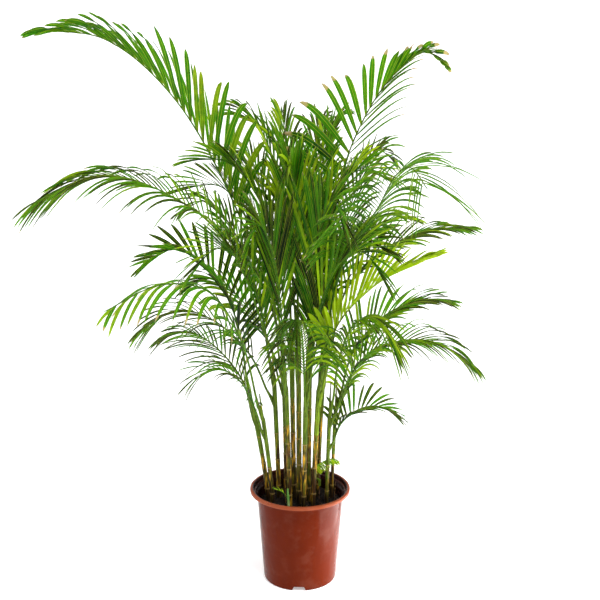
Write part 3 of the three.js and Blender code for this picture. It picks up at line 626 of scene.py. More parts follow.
# %% Fronds in front
FRONDS.update({
    "frond_front_top": frond(6, 590, 262, (25, 810), (65, 950), (120, 1020), (190, 1010),
        kind=STEEP, leaf=235, droop=0.45, pairs=28, tint=0.6),
    "frond_front_right": frond(7, 490, 288, (35, 720), (95, 890), (175, 960), (260, 915),
        kind=STEEP, leaf=240, lift=36, droop=0.3, pairs=28, tint=0.35),
    "frond_front_left": frond(4, 480, 250, (35, 700), (90, 845), (160, 905), (235, 870),
        kind=STEEP, leaf=230, lift=36, droop=0.3, pairs=28, tint=0.3),
    "frond_front_side": frond(7, 455, 312, (40, 680), (105, 805), (175, 845), (245, 800),
        kind=STEEP, leaf=210, lift=32, droop=0.4, sweep=22),
    "frond_front_far_left": frond(3, 480, 228, (45, 680), (105, 790), (180, 835), (250, 800),
        kind=STEEP, leaf=210, lift=40, droop=0.35, sweep=22),
    "frond_front_low": frond(7, 430, 262, (30, 570), (75, 665), (130, 695), (185, 665),
        leaf=205, wide=7, droop=2.1, hook=1.7, sweep=38, close=8, pairs=34, tint=0.4),
    "frond_front_low_right": frond(11, 420, 315, (30, 565), (75, 655), (130, 680), (185, 650),
        leaf=190, wide=7, droop=2.0, hook=1.7, sweep=38, close=8, pairs=32, tint=0.5),
})
print(len(FRONDS), "fronds so far")

# %% [markdown]
# Those behind and between fill the crown, so that it is dense in the middle from every side.

# %% Fronds behind and in the crown
# The low tints of the fronds behind and inside are partly painted shade, for the shade deep in the
# crown.
FRONDS.update({
    "frond_back_mid": frond(14, 520, 82, (45, 800), (115, 980), (205, 1070), (305, 1050),
        kind=BEHIND, leaf=205, tint=0.2),
    "frond_back_left": frond(13, 500, 118, (45, 760), (110, 925), (195, 1005), (280, 980),
        kind=BEHIND, leaf=200, tint=0.25),
    "frond_back_right": frond(10, 520, 52, (45, 755), (120, 920), (200, 1010), (290, 985),
        kind=BEHIND, leaf=200, tint=0.25),
    "frond_back_high": frond(5, 590, 100, (25, 845), (60, 1005), (120, 1100), (195, 1100),
        kind=BEHIND, leaf=180, lift=35, tint=0.35),
    "frond_back_far_left": frond(3, 500, 140, (50, 695), (125, 835), (205, 895), (295, 865),
        kind=BEHIND, leaf=180, tint=0.2),
    "frond_back_low": frond(14, 430, 60, (40, 635), (105, 750), (180, 800), (250, 770),
        kind=BEHIND, leaf=165, tint=0.1),
    "frond_crown_left": frond(5, 550, 205, (35, 790), (85, 935), (155, 1015), (230, 1025),
        kind=STEEP, leaf=220, droop=0.5, tint=0.5),
    "frond_crown_back": frond(6, 620, 140, (30, 850), (75, 1015), (140, 1105), (215, 1130),
        kind=BEHIND, leaf=190, lift=38),
    "frond_crown_right": frond(8, 600, 62, (25, 845), (60, 1000), (110, 1085), (180, 1105),
        kind=BEHIND, leaf=185, lift=38),
    "frond_crown_front": frond(8, 570, 318, (30, 790), (75, 925), (130, 1000), (200, 1000),
        kind=STEEP, leaf=230, droop=0.5, tint=0.6),
    "frond_inner_left": frond(13, 470, 192, (30, 705), (80, 860), (145, 950), (225, 950),
        kind=STEEP, leaf=220, droop=0.4, tint=0.15),
    "frond_inner_right": frond(10, 470, 318, (20, 640), (60, 775), (115, 840), (180, 830),
        kind=STEEP, leaf=215, droop=0.4, tint=0.2),
})
print(len(FRONDS), "fronds so far")

# %% [markdown]
# Two small shoots follow the same rule: the fresh green tuft on the old stump, and the first leaf
# of the young shoot.

# %% Small shoots
SHOOTS = {
    "stump_shoot": frond("old_stump", 246, 175, (14, 274), (-6, 292), (-28, 300), (-46, 296),
        leaf=36, wide=3.8, lift=24, droop=0.6, sweep=66, close=50, bare=0.15, pairs=26, tint=0.65,
        varied=0.5, scale=0.45),
    "young_leaf": frond("young_shoot", 232, 172, (10, 240), (20, 247), (32, 252),
        leaf=22, wide=4, lift=20, droop=0.3, sweep=30, bare=0.3, pairs=4, scale=0.35),
}
print(len(SHOOTS), "small shoots")

# %% [markdown]
# The rib is drawn with the same curve as in the CAD model: a centripetal Catmull-Rom spline, which
# passes through every point without overshooting. Its first point lies beside the cane's axis.

# %% Draw a rib
CANE_BEND = 1.25  # over 1, so that a cane bends outwards more towards its top
PETIOLE_RADIUS = 3.1
RIB_TIP_RADIUS = 1.1
RIB_STEPS = 14
SEAT_SHARE = 0.6  # of the petiole's radius, between its middle and the cane's side
SHEATH_LENGTH = 75
SHEATH_STEPS = 12
LEAVING_STEPS = 5  # over these the rib turns out of the sheath


def cane_axis(cane, height):
    """A point of a cane's middle line."""
    share = (height - SOIL_TOP) / (cane["top"][2] - SOIL_TOP)
    lean = share / 2 if share < 0 else share ** CANE_BEND
    foot, top = Vector(cane["foot"]), Vector(cane["top"][:2])
    return foot.lerp(top, lean).to_3d() + Vector((0, 0, height))


def spline(points, steps):
    """A centripetal Catmull-Rom spline through points, with steps pieces between each two."""
    first = points[0] * 2 - points[1]
    last = points[-1] * 2 - points[-2]
    padded = [first, *points, last]
    drawn = []
    for a, b, c, d in zip(padded, padded[1:], padded[2:], padded[3:]):
        gaps = [(q - p).length ** 0.5 for p, q in ((a, b), (b, c), (c, d))]
        leave = (b - a) / gaps[0] - (c - a) / (gaps[0] + gaps[1]) + (c - b) / gaps[1]
        arrive = (c - b) / gaps[1] - (d - b) / (gaps[1] + gaps[2]) + (d - c) / gaps[2]
        leave, arrive = leave * gaps[1], arrive * gaps[1]
        for step in range(steps):
            t = step / steps
            drawn.append(b + t * leave + t * t * (3 * (c - b) - 2 * leave - arrive)
                         + t ** 3 * (2 * (b - c) + leave + arrive))
    return [*drawn, points[-1]]


def carrier_of(own):
    return CANES.get(own["cane"]) or POSTS[own["cane"]]


def rib_points(own):
    """The rib's line, and the share of it that lies in the sheath round the cane."""
    carrier = carrier_of(own)
    middle = cane_axis(carrier, own["base"])
    out = Vector((math.cos(own["turn"]), math.sin(own["turn"]), 0))
    seat_out = carrier["radius"] + PETIOLE_RADIUS * SEAT_SHARE * own["scale"]
    places = [(seat_out, own["base"]), *own["rib"]]
    points = [(middle + out * reach).to_2d().to_3d() + Vector((0, 0, height))
              for reach, height in places]
    free = spline(points, RIB_STEPS)
    depth = SHEATH_LENGTH * own["scale"] ** 2
    wrapped = [cane_axis(carrier, own["base"] - depth * (1 - k / SHEATH_STEPS))
               for k in range(SHEATH_STEPS)]
    for k in range(LEAVING_STEPS):
        on_cane = cane_axis(carrier, free[k].z)
        free[k] = on_cane.lerp(free[k], math.sin((k + 1) / (LEAVING_STEPS + 1) * math.pi / 2))
    line = [*wrapped, *free]
    pieces = [(b - a).length for a, b in zip(line, line[1:])]
    return [point * MM for point in line], sum(pieces[:SHEATH_STEPS]) / sum(pieces)


longest = max(FRONDS, key=lambda name: FRONDS[name]["rib"][-1][0])
print("The longest frond is", longest, "with", len(rib_points(FRONDS[longest])[0]), "rib points")

# %% [markdown]
# ## One leaflet to copy
# Every leaflet of the palm starts as the same closed blade of 41 faces. Its corners hold three
# numbers instead of a place: how far along the leaflet they lie, how far across, and whether on the
# upper or under side. The tree turns those into a place, so that no two leaflets end up alike.

# %% The leaflet to copy
BLADE_STOPS = (0, 0.03, 0.09, 0.2, 0.34, 0.48, 0.61, 0.73, 0.84, 0.93)


def leaflet_blade():
    ring = ((-1, 0), (0, 1), (1, 0), (0, -1))  # margin, fold on top, margin, fold beneath
    points = [(stop, across, side) for stop in BLADE_STOPS for across, side in ring]
    tip = len(points)
    faces = [(3, 2, 1, 0)]
    for k in range(len(BLADE_STOPS) - 1):
        for j in range(4):
            low, high = k * 4, k * 4 + 4
            faces.append((low + j, low + (j + 1) % 4, high + (j + 1) % 4, high + j))
    faces += [(tip - 4 + j, tip - 4 + (j + 1) % 4, tip) for j in range(4)]
    made = mesh_object("Leaflet to copy", [*points, (1, 0, 0)], faces=faces)
    mesh = made.data
    shape = mesh.attributes.new("way_shape", "FLOAT_VECTOR", "POINT")
    shape.data.foreach_set("vector", [value for vertex in mesh.vertices for value in vertex.co])
    mesh.shade_smooth()
    sharp = mesh.attributes.new("sharp_edge", "BOOLEAN", "EDGE")
    for edge in mesh.edges:
        ends = [mesh.vertices[k].co for k in edge.vertices]
        on_margin = all(abs(end.y) == 1 for end in ends)
        sharp.data[edge.index].value = on_margin and ends[0].y == ends[1].y
    made.hide_render = True
    return made


blade = leaflet_blade()
print("The leaflet has", len(blade.data.polygons), "faces")

# %% [markdown]
# ## The frond tree
# A leaflet modelled by hand and posed with an armature could be bent more freely, but the nearly
# two thousand leaflets here all follow one rule, so a tree grows them in three parts. The first
# part sweeps a tapering rib along its line. The rib starts as a sheath wrapped round its cane and
# narrows to a petiole where it leaves.

# %% Sweep the rib
RIB_SIDES = 8
SHEATH_RUN = 0.09  # share of the free rib over which the sheath narrows


def swept_rib(t, line, side):
    given = t.given
    sheath = given["Sheath share"]
    share = t.math("MAXIMUM", (t.put("GeometryNodeSplineParameter") - sheath) / (1 - sheath), 0.0)
    radius = t.between(given["Petiole"], given["Rib tip"], share ** 0.8)
    radius = t.between(given["Sheath radius"], radius, t.smooth(share, 0.0, SHEATH_RUN))
    rib_line = t.store(t.store(line, "along", share), "tone", given["Tint"])
    rib_line = t.put("GeometryNodeSetCurveNormal", rib_line, None, side, mode="FREE")
    ring = t.put("GeometryNodeCurvePrimitiveCircle", RIB_SIDES)
    rib = t.put("GeometryNodeCurveToMesh", rib_line, ring, radius, True)
    return t.paint(t.soften(rib), given["Rib finish"])


print("The rib is swept from a ring of", RIB_SIDES, "sides")

# %% [markdown]
# The second part drops two points on the rib for each pair of leaflets, even ones left and odd ones
# right. Every point stores where its leaflet starts, which way it leaves and how long, wide and
# heavy it is. A little chance in each value keeps the rows from looking combed. When the frond is
# rolled, the lower row lies flatter to the eye and may turn its edge.

# %% Place the leaflets
FIRST_PAIR = 0.3  # of the way between two pairs, counted from the bare part of the rib
LAST_PAIR = 0.97  # share of the rib
FULLEST = 0.3  # share of the leafy part where the leaflets are longest
SHORTER_AT_ROOT = 0.25


def leaflet_points(t, line, side):
    given = t.given
    pairs = given["Pairs"]
    points = t.put("GeometryNodePoints", pairs * 2)
    number = t.put("GeometryNodeInputIndex")
    pair = t.math("FLOOR", number * 0.5)
    hand = 1 - (number - pair * 2) * 2
    place = (pair + FIRST_PAIR + hand * given["Stagger"] + t.chance(-0.1, 0.1, 1)) / pairs
    share = given["Bare"] + (1 - given["Bare"]) * place * LAST_PAIR
    share = t.math("MINIMUM", t.math("MAXIMUM", share, 0.01), 0.995)
    on_line = given["Sheath share"] + (1 - given["Sheath share"]) * share
    middle = t.put("GeometryNodeSampleCurve", line, None, on_line, mode="FACTOR", out="Position")
    tangent = t.unit(middle.also("Tangent"))

    # The V stands on left and up, which turn round the rib by the roll.
    roll = given["Roll"] * t.smooth(share, 0.1, 0.6)
    left = t.put("ShaderNodeVectorRotate", side, (0, 0, 0), tangent, roll)
    up = t.math("CROSS_PRODUCT", tangent, left)
    lowered = t.math("GREATER_THAN", given["Roll"] * hand * -1, 0.0)
    sweep = given["Sweep"] * (1 + given["Roll"] * hand * 0.3)
    sweep = t.between(sweep, given["Close"], t.smooth(share, 0.35, 0.9)) + t.chance(-0.05, 0.05, 2)
    raised = given["Lift"] * (1 - share * 0.45) + t.chance(-0.1, 0.1, 3)
    outwards = t.towards(left * hand, up, raised)
    start = t.unit(t.towards(tangent, outwards, sweep))

    before = t.math("MAXIMUM", (FULLEST - place) / FULLEST, 0.0)
    after = t.math("MAXIMUM", (place - FULLEST) / (1 - FULLEST), 0.0)
    shorter = before * before * SHORTER_AT_ROOT
    length = given["Leaf"] * (1 - shorter - (after ** 1.2) * given["Taper"])
    narrower = 1 - lowered * given["Edge"] * 0.3
    directions = {"way_start": start, "way_middle": middle, "way_along_rib": tangent}
    values = {
        "way_hand": hand,
        "way_length": length * t.chance(0.92, 1.05, 4),
        "way_width": given["Wide"] * narrower * (1 - share * 0.4) * t.chance(0.88, 1.12, 5),
        "way_droop": given["Droop"] * (1 - share * 0.25) * t.chance(0.75, 1.25, 6),
        "way_twist": t.chance(-0.25, 0.25, 7),
        "way_edge": lowered * given["Edge"],
        # Partly painted light and shade: the frond's tint and a wide spread between leaflets stand
        # for lit and shaded leaflets as well as their own tones.
        "tone": given["Tint"] + t.chance(-0.5, 0.44, 8) * given["Varied"],
        "dry": given["Dry"] * t.chance(0.2, 1.8, 9),
    }
    for name, value in directions.items():
        points = t.store(points, name, value, "FLOAT_VECTOR")
    for name, value in values.items():
        points = t.store(points, name, value)
    return points


print("The leaflets are longest at", FULLEST, "of the leafy part")

# %% [markdown]
# The third part copies the blade to every point and makes the copies real. Each of their corners
# then goes to its place on the bent, twisted and folded leaflet by one formula. Its middle line
# falls below the straight one by a power of the way along it, which is how a thin blade held at one
# end hangs.

# %% Bend the copied blades
BLADE_OUTLINE = [(0, 0.3), (1, 0), (0.06, 0.52), (0.18, 0.78), (0.38, 0.96), (0.6, 1.0),
                 (0.8, 0.86), (0.93, 0.5)]  # half the width: first both ends, then between them
FOLD_AT_ROOT, FOLD_LOST = 0.42, 0.2


def bent_leaflets(t, points):
    given = t.given
    copied = t.put("GeometryNodeObjectInfo", given["Blade"], out="Geometry")
    leaflets = t.put("GeometryNodeInstanceOnPoints", points, None, copied)
    leaflets = t.put("GeometryNodeRealizeInstances", leaflets)
    reach, across, side_up = t.parts(t.read("way_shape", "FLOAT_VECTOR"))
    hand = t.read("way_hand")
    start = t.read("way_start", "FLOAT_VECTOR")
    length = t.read("way_length")
    droop = t.read("way_droop")

    # The middle line and the way it heads at each corner.
    hook = given["Hook"]
    fall = droop * (reach ** hook) * 0.5
    middle = t.read("way_middle", "FLOAT_VECTOR") + start * (length * reach)
    middle = middle - t.vector(0.0, 0.0, fall * length)
    slope = droop * (reach ** (hook - 1)) * hook * 0.5
    heading = t.unit(start - t.vector(0.0, 0.0, slope))

    # The blade's broad side and its face, turned by twist and edge.
    rib_way = t.read("way_along_rib", "FLOAT_VECTOR")
    broad = t.unit(rib_way - heading * t.dot(rib_way, heading))
    face = t.math("CROSS_PRODUCT", broad, heading) * hand
    twist = t.read("way_twist") * reach + t.read("way_edge")
    turned = t.towards(broad, face, twist)
    face = t.towards(face, broad * -1, twist)
    half = t.read("way_width") * t.curve(reach, BLADE_OUTLINE) * 0.5
    fold = half * t.math("ABSOLUTE", across) * (FOLD_AT_ROOT - reach * FOLD_LOST)
    thick = given["Thick"] * (1 - reach * 0.6) * 0.5
    place = middle + turned * (half * across * hand * -1) + face * (side_up * thick - fold)
    leaflets = t.put("GeometryNodeSetPosition", leaflets, None, place)
    leaflets = t.store(t.store(leaflets, "along", reach), "across", across * hand * -1)
    return t.paint(leaflets, given["Leaf finish"])


print("A blade's outline is drawn through", len(BLADE_OUTLINE), "points")

# %% Build the frond tree
LENGTHS = ("leaf", "wide")
ANGLES = ("lift", "roll", "sweep", "close", "edge")
SHARES = ("bare", "droop", "hook", "taper", "stagger", "tint", "varied", "dry")
RIB_SIZES = ("turn", "petiole", "rib tip", "thick", "sheath share", "sheath radius")


def frond_tree():
    names = (*LENGTHS, *ANGLES, *SHARES, *RIB_SIZES)
    inputs = {name.capitalize(): "Float" for name in names}
    inputs.update({"Pairs": "Int", "Seed": "Int", "Blade": "Object", "Leaf finish": "Material",
                   "Rib finish": "Material"})
    t = GeometryTree("Frond", inputs)
    line = t.put("GeometryNodeMeshToCurve", t.given["Geometry"])
    turn = t.given["Turn"]
    side = t.vector(t.math("SINE", turn) * -1, t.math("COSINE", turn), 0.0)
    rib = swept_rib(t, line, side)
    leaflets = bent_leaflets(t, leaflet_points(t, line, side))
    t.end(t.join(rib, leaflets))
    return t


FROND = frond_tree()

# %% [markdown]
# Now the tree runs once for each row of the tables. A frond's sheath hugs its cane: it is a little
# wider than a thin cane, and never much wider than twice the petiole.

# %% Grow every frond
BLADE_THICKNESS = 0.0009
SHEATH_HUG, SHEATH_OVER = 0.94, 0.5  # share of the cane's radius, and millimetres added to it


def grow_frond(node, own, slot, seed):
    scale = own["scale"]
    points, sheath_share = rib_points(own)
    wrapped = min(carrier_of(own)["radius"], PETIOLE_RADIUS * 2 * scale)
    sizes = {name: own[name] * MM for name in LENGTHS}
    sizes.update({name: math.radians(own[name]) for name in ANGLES})
    sizes.update({name: float(own[name]) for name in SHARES})
    piece = grow(
        FROND, line_object(f"{node}_grown", points), Turn=own["turn"],
        **{name.capitalize(): size for name, size in sizes.items()}, Pairs=own["pairs"],
        Petiole=PETIOLE_RADIUS * scale * MM, Rib_tip=RIB_TIP_RADIUS * scale * MM,
        Thick=BLADE_THICKNESS * scale ** 0.5, Sheath_share=sheath_share,
        Sheath_radius=(wrapped * SHEATH_HUG + SHEATH_OVER) * MM, Seed=seed, Blade=blade,
        Leaf_finish=LEAF, Rib_finish=RIB)
    seat(piece, slot, node)


SEED_STEP = 20  # more than the chances in the tree, so that no two fronds share a seed
rows = [(node, own, "frond") for node, own in FRONDS.items()]
rows += [(node, own, "shoot") for node, own in SHOOTS.items()]
for number, (node, own, slot) in enumerate(rows):
    grow_frond(node, own, slot, number * SEED_STEP)
bpy.data.objects.remove(blade)
print(len(rows), "fronds and shoots with", sum(own["pairs"] * 2 for _, own, _ in rows), "leaflets")

# %% [markdown]
# ## Canes
# An areca cane is built like bamboo: straight joints with a ring at each leaf scar. Old joints low
# down are tan and brown with long streaks, higher ones are green, and the top third is wrapped in
# smooth sheaths and ends in the closed spear of the next leaf. One tree sweeps a circle along the
# cane's middle line and makes its radius a sum of these things, each a function of the height.

# %% Cane finish
def cane_finish():
    finish = Finish("Ringed cane", Specular_IOR_Level=0.15)
    height = finish.read("along")
    ring = finish.read("ring")
    age = finish.read("tone")
    fine = finish.effect(STREAKS, Width=0.0012, Length=0.03, Low=0.35, High=0.7)
    broad = finish.effect(STREAKS, Width=0.005, Length=0.05, Low=0.45, High=0.62)
    spots = finish.effect(STREAKS, Width=0.006, Length=0.035, Low=0.48, High=0.62)
    worn = finish.effect(STREAKS, Width=0.009, Length=0.06, Low=0.46, High=0.6)
    old = 1 - finish.smooth(height + (broad - 0.5) * 0.3 - age * 0.24, 0.1, 0.42)
    green = finish.mix(fine * 0.8, srgb(108, 128, 16), srgb(38, 56, 6))
    green = finish.mix(spots * 0.6, green, srgb(158, 150, 22))
    olive = finish.mix(fine, srgb(122, 116, 28), srgb(56, 44, 12))
    tan = finish.mix(spots, olive, srgb(212, 158, 36))
    tan = finish.mix(worn * 0.9, tan, srgb(64, 36, 16))
    tan = finish.mix(broad, tan, srgb(36, 18, 8))
    surface = finish.mix(old, green, tan)
    stripes = finish.effect(STREAKS, Width=0.0014, Length=0.08, Low=0.48, High=0.58)
    surface = finish.mix(stripes * 0.6, surface, srgb(30, 30, 8))
    # Darker towards the foot, over the lowest part of the cane above the soil.
    darker_at_foot = 1 - finish.smooth(height + (spots - 0.5) * 0.05, 0.0, 0.09)
    surface = finish.mix(darker_at_foot * 0.7, surface, srgb(40, 26, 16))
    surface = finish.mix(ring * 0.7, surface, srgb(150, 126, 70))
    finish.colour(surface)
    finish.rough(fine, 0.42, 0.7)
    finish.bump(fine + broad, 0.0005, 0.5)
    return finish.material


CANE = cane_finish()
print("Finish:", CANE.name)

# %% [markdown]
# The cane tree lays rings of faces close together along the middle line, because a scar is only two
# millimetres high. Higher up, where the sheaths are, an edge winds round the cane and a soft wave
# keeps the outline from looking turned.

# %% Build the cane tree
RING_STEP = 0.0013  # between two rings of faces
CANE_SIDES = 18
NARROWING, SPEAR_START = 0.18, 0.888  # the share lost up to the spear, and what is left there
FOOT_HEIGHT = 0.02
SCAR_HALF, SCAR_FADE = 0.0004, 0.0022  # a scar is full up to the first and gone at the second
SWELLING = 0.6  # of a joint under the next scar, as a share of the scar
WINDINGS = 3.2  # of the sheaths' edge round the whole cane
SHEATH_EDGE, SHEATH_WAVE = 0.0009, 0.0007


def cane_tree():
    inputs = {name: "Float" for name in (
        "Radius", "Foot height", "Top height", "Scar spacing", "Scar", "Sheath share", "Spear",
        "Flare", "Age")}
    t = GeometryTree("Cane", {**inputs, "Finish": "Material"})
    given = t.given
    line = t.put("GeometryNodeMeshToCurve", given["Geometry"])
    line = t.put("GeometryNodeResampleCurve", line, None, RING_STEP, mode="LENGTH")
    over = t.parts(t.put("GeometryNodeInputPosition"))[2] - given["Foot height"]
    share = over / (given["Top height"] - given["Foot height"])
    above = t.math("MAXIMUM", share, 0.0)
    sheath = given["Sheath share"]
    spear = t.math("MAXIMUM", (above - sheath) / (1 - sheath), 0.0) ** 0.8
    plain_radius = (1 - t.math("MINIMUM", above, sheath) * NARROWING
                    - spear * (SPEAR_START - given["Spear"]))
    foot = 1 - t.smooth(over, 0.0, FOOT_HEIGHT)
    plain_radius = plain_radius + foot * (given["Flare"] - 1)

    # A ring at each leaf scar, and each joint a little thicker towards the ring above it.
    joints = over / given["Scar spacing"] + 0.5
    joint = t.math("FRACT", joints)
    off_ring = t.math("MINIMUM", joint, 1 - joint) * given["Scar spacing"]
    on_joints = 1 - t.smooth(share, sheath - 0.12, sheath)
    ring = (1 - t.smooth(off_ring, SCAR_HALF, SCAR_FADE)) * on_joints
    radius = given["Radius"] * plain_radius + ring * given["Scar"]
    radius = radius + joint * on_joints * given["Scar"] * SWELLING
    line = t.store(t.store(line, "along", above), "ring", ring)
    line = t.store(line, "tone", given["Age"])
    line = t.store(line, "way_share", share)
    line = t.put("GeometryNodeSetCurveNormal", line, None, (1, 0, 0), mode="FREE")
    circle = t.put("GeometryNodeCurvePrimitiveCircle", CANE_SIDES)
    circle = t.store(circle, "way_around", t.put("GeometryNodeSplineParameter"))
    cane = t.put("GeometryNodeCurveToMesh", line, circle, radius, True)

    # Sheaths: an edge that winds up round the upper part, where one sheath wraps the next.
    on_sheath = t.smooth(t.read("way_share"), sheath - 0.1, sheath + 0.05)
    winding = t.math("FRACT", t.read("way_around") + t.read("way_share") * WINDINGS)
    lift = t.smooth(winding, 0.0, 0.12) * (1 - winding) * on_sheath * SHEATH_EDGE
    wave = t.put("ShaderNodeTexNoise", None, 60.0, 2.0, 0.5)
    lift = lift + (wave - 0.5) * SHEATH_WAVE
    normal = t.put("GeometryNodeInputNormal")
    cane = t.put("GeometryNodeSetPosition", cane, None, None, normal * lift)
    t.end(t.paint(t.soften(cane), given["Finish"]))
    return t


CANE_TREE = cane_tree()

# %% [markdown]
# Each cane is a straight list of heights, bent by the cane's middle line and swept by the tree. The
# canes differ in age, so that brown old ones stand among green young ones.

# %% Grow the canes
SET_DEPTH = 45  # into the soil
NODE_SPACING = 66
SCAR = 0.7
SHEATH_SHARE = 0.62  # of the cane's height, where the sheaths begin
SPEAR_RADIUS = 0.16  # of the cane's radius, at its very tip
HEIGHT_STEPS = 40


def grow_stem(node, own, slot, finish, **sizes):
    low, high = SOIL_TOP - SET_DEPTH, own["top"][2]
    heights = [low + (high - low) * k / HEIGHT_STEPS for k in range(HEIGHT_STEPS + 1)]
    line = line_object(f"{node}_grown", [cane_axis(own, height) * MM for height in heights])
    usual = {
        "Radius": own["radius"] * MM, "Foot_height": SOIL_TOP * MM, "Top_height": high * MM,
        "Scar_spacing": NODE_SPACING * MM, "Scar": SCAR * MM, "Sheath_share": SHEATH_SHARE,
        "Spear": SPEAR_RADIUS, "Flare": 1.0, "Age": 0.5}
    piece = grow(CANE_TREE, line, **{**usual, **sizes}, Finish=finish)
    seat(piece, slot, node)
    return piece


AGE_STEP = 2.4  # an angle that never repeats, so neighbours get unlike ages
for number, (node, own) in enumerate(CANES.items()):
    age = 0.5 + 0.5 * math.sin(number * AGE_STEP)
    stem = grow_stem(node, own, "cane", CANE, Age=age)
print(len(CANES), "canes, the last with", len(stem.data.polygons), "faces")

# %% [markdown]
# ## Cut canes, young shoot and old stump
# Between the canes stand what earlier growth left: stubs of cut canes with dark dried tops, a pale
# young shoot, and an old stump wrapped in dark fibres. They are grown by the cane tree with other
# sizes, closer rings and a blunt end.

# %% Stub and stump finishes
def stub_finish():
    finish = Finish("Cut cane", Specular_IOR_Level=0.3)
    height = finish.read("along")
    fine = finish.effect(STREAKS, Width=0.001, Length=0.02, Low=0.35, High=0.65)
    spots = finish.effect(BLOTCHES, Size=0.012, Low=0.45, High=0.6)
    bark = finish.mix(fine, srgb(142, 110, 60), srgb(82, 54, 30))
    bark = finish.mix(spots * 0.6, bark, srgb(172, 128, 48))
    top = finish.smooth(height + (fine - 0.5) * 0.1, 0.82, 0.97)
    finish.colour(finish.mix(top, bark, srgb(44, 28, 20)))
    finish.rough(fine, 0.6, 0.9)
    finish.bump(fine + spots, 0.0008, 0.8)
    return finish.material


def stump_finish():
    finish = Finish("Old stump", Specular_IOR_Level=0.25)
    fine = finish.effect(STREAKS, Width=0.0012, Length=0.012, Low=0.35, High=0.65)
    spots = finish.effect(BLOTCHES, Size=0.009, Low=0.45, High=0.62)
    bark = finish.mix(fine, srgb(104, 72, 50), srgb(40, 26, 20))
    finish.colour(finish.mix(spots * 0.5, bark, srgb(150, 116, 80)))
    finish.rough(fine, 0.75, 0.95)
    finish.bump(fine + spots, 0.0015, 1.0)
    return finish.material


def shoot_finish():
    finish = Finish("Young shoot", Specular_IOR_Level=0.5, Subsurface_Weight=0.2,
                    Subsurface_Scale=0.003)
    height = finish.read("along")
    fine = finish.effect(STREAKS, Width=0.001, Length=0.02, Low=0.35, High=0.7)
    green = finish.mix(finish.smooth(height, 0.0, 0.7), srgb(190, 200, 150), srgb(96, 150, 60))
    finish.colour(finish.mix(fine * 0.4, green, srgb(60, 110, 40)))
    finish.rough(fine, 0.35, 0.5)
    finish.bump(fine, 0.0004, 0.4)
    return finish.material


STUB = stub_finish()
STUMP = stump_finish()
SHOOT = shoot_finish()
print("Finishes:", STUB.name, STUMP.name, SHOOT.name)

# %% Grow the stubs, the stump and the shoot
NEVER = 2.0  # a sheath share over 1 leaves the end blunt
for node in ("cut_cane_left", "cut_cane_right", "cut_cane_small"):
    grow_stem(node, POSTS[node], "cane", STUB, Sheath_share=NEVER, Scar_spacing=24 * MM,
              Flare=1.1)
grow_stem("old_stump", POSTS["old_stump"], "stump", STUMP, Sheath_share=NEVER,
          Scar_spacing=11 * MM, Scar=1.2 * MM, Flare=1.15)
grow_stem("young_shoot", POSTS["young_shoot"], "shoot", SHOOT, Scar=0.0, Spear=0.4)
print("Posts grown:", ", ".join(POSTS))

# %% [markdown]
# ## Pot
# The pot is injection-moulded plastic, a thin wall turned round an axis: a rolled rim, a short
# flared neck, a wall that narrows downwards and a foot ring with drain notches. A lathe is the
# plain way to make such a shape: one outline with rounded corners, spun once round. The notches and
# drain holes are then cut out of it, as the mould leaves them.

# %% Turn the pot
POT_HEIGHT, RIM_RADIUS, RIM_WIDTH, RIM_DROP = 230, 120, 8, 9
NECK_RADIUS, FOOT_RADIUS, WALL, FLARE, ROUNDING = 103, 88, 2.5, 10, 4
FOOT_RING, FOOT_RECESS, FOOT_PAD, FLOOR_TOP = 10, 11, 32, 14
UNDER_RIM = POT_HEIGHT - RIM_DROP
NECK_HEIGHT = UNDER_RIM - FLARE
DRAFT = 2  # slant of the pad and the channel, which lets the mould open
FOOT_CHAMFER = 5
CORNER = 3.0
POT_SIDES = 144


def wall_radius(height):
    return FOOT_RADIUS + (NECK_RADIUS - FOOT_RADIUS) * height / NECK_HEIGHT


def pot_outline():
    ring_inside = FOOT_RADIUS - ROUNDING - FOOT_RING
    rim_inside = RIM_RADIUS - RIM_WIDTH
    return [
        (0, 0), (FOOT_PAD, 0), (FOOT_PAD + DRAFT, FOOT_RECESS),
        (ring_inside - DRAFT, FOOT_RECESS), (ring_inside, 0), (FOOT_RADIUS - 1, 0),
        (wall_radius(FOOT_CHAMFER), FOOT_CHAMFER), (NECK_RADIUS, NECK_HEIGHT),
        (NECK_RADIUS + ROUNDING, UNDER_RIM - 0.5), (RIM_RADIUS, UNDER_RIM),
        (RIM_RADIUS, POT_HEIGHT), (rim_inside, POT_HEIGHT), (rim_inside - 1.5, UNDER_RIM),
        (NECK_RADIUS - WALL, NECK_HEIGHT), (wall_radius(FLOOR_TOP) - WALL, FLOOR_TOP),
        (0, FLOOR_TOP),
    ]


def rounded(outline, radius, steps=5):
    """The outline with each corner cut by a small arc. Its first and last points stay."""
    points = [Vector(point) for point in outline]
    made = [points[0]]
    for a, b, c in zip(points, points[1:], points[2:]):
        cut = min(radius, (b - a).length * 0.45, (c - b).length * 0.45)
        enter, leave = b + (a - b).normalized() * cut, b + (c - b).normalized() * cut
        for step in range(steps + 1):
            t = step / steps
            made.append(enter.lerp(b, t).lerp(b.lerp(leave, t), t))
    return [*made, points[-1]]


def turned(name, outline, sides):
    """A closed solid turned about Z from an outline that starts and ends on the axis."""
    rings = outline[1:-1]
    points = [(0, 0, outline[0].y * MM)]
    for j in range(sides):
        angle = 2 * math.pi * j / sides
        points += [(p.x * MM * math.cos(angle), p.x * MM * math.sin(angle), p.y * MM)
                   for p in rings]
    last = len(points)
    points.append((0, 0, outline[-1].y * MM))
    faces = []
    for j in range(sides):
        a, b = 1 + j * len(rings), 1 + (j + 1) % sides * len(rings)
        faces += [(0, b, a), (last, a + len(rings) - 1, b + len(rings) - 1)]
        faces += [(a + k, b + k, b + k + 1, a + k + 1) for k in range(len(rings) - 1)]
    return mesh_object(name, points, faces=faces)


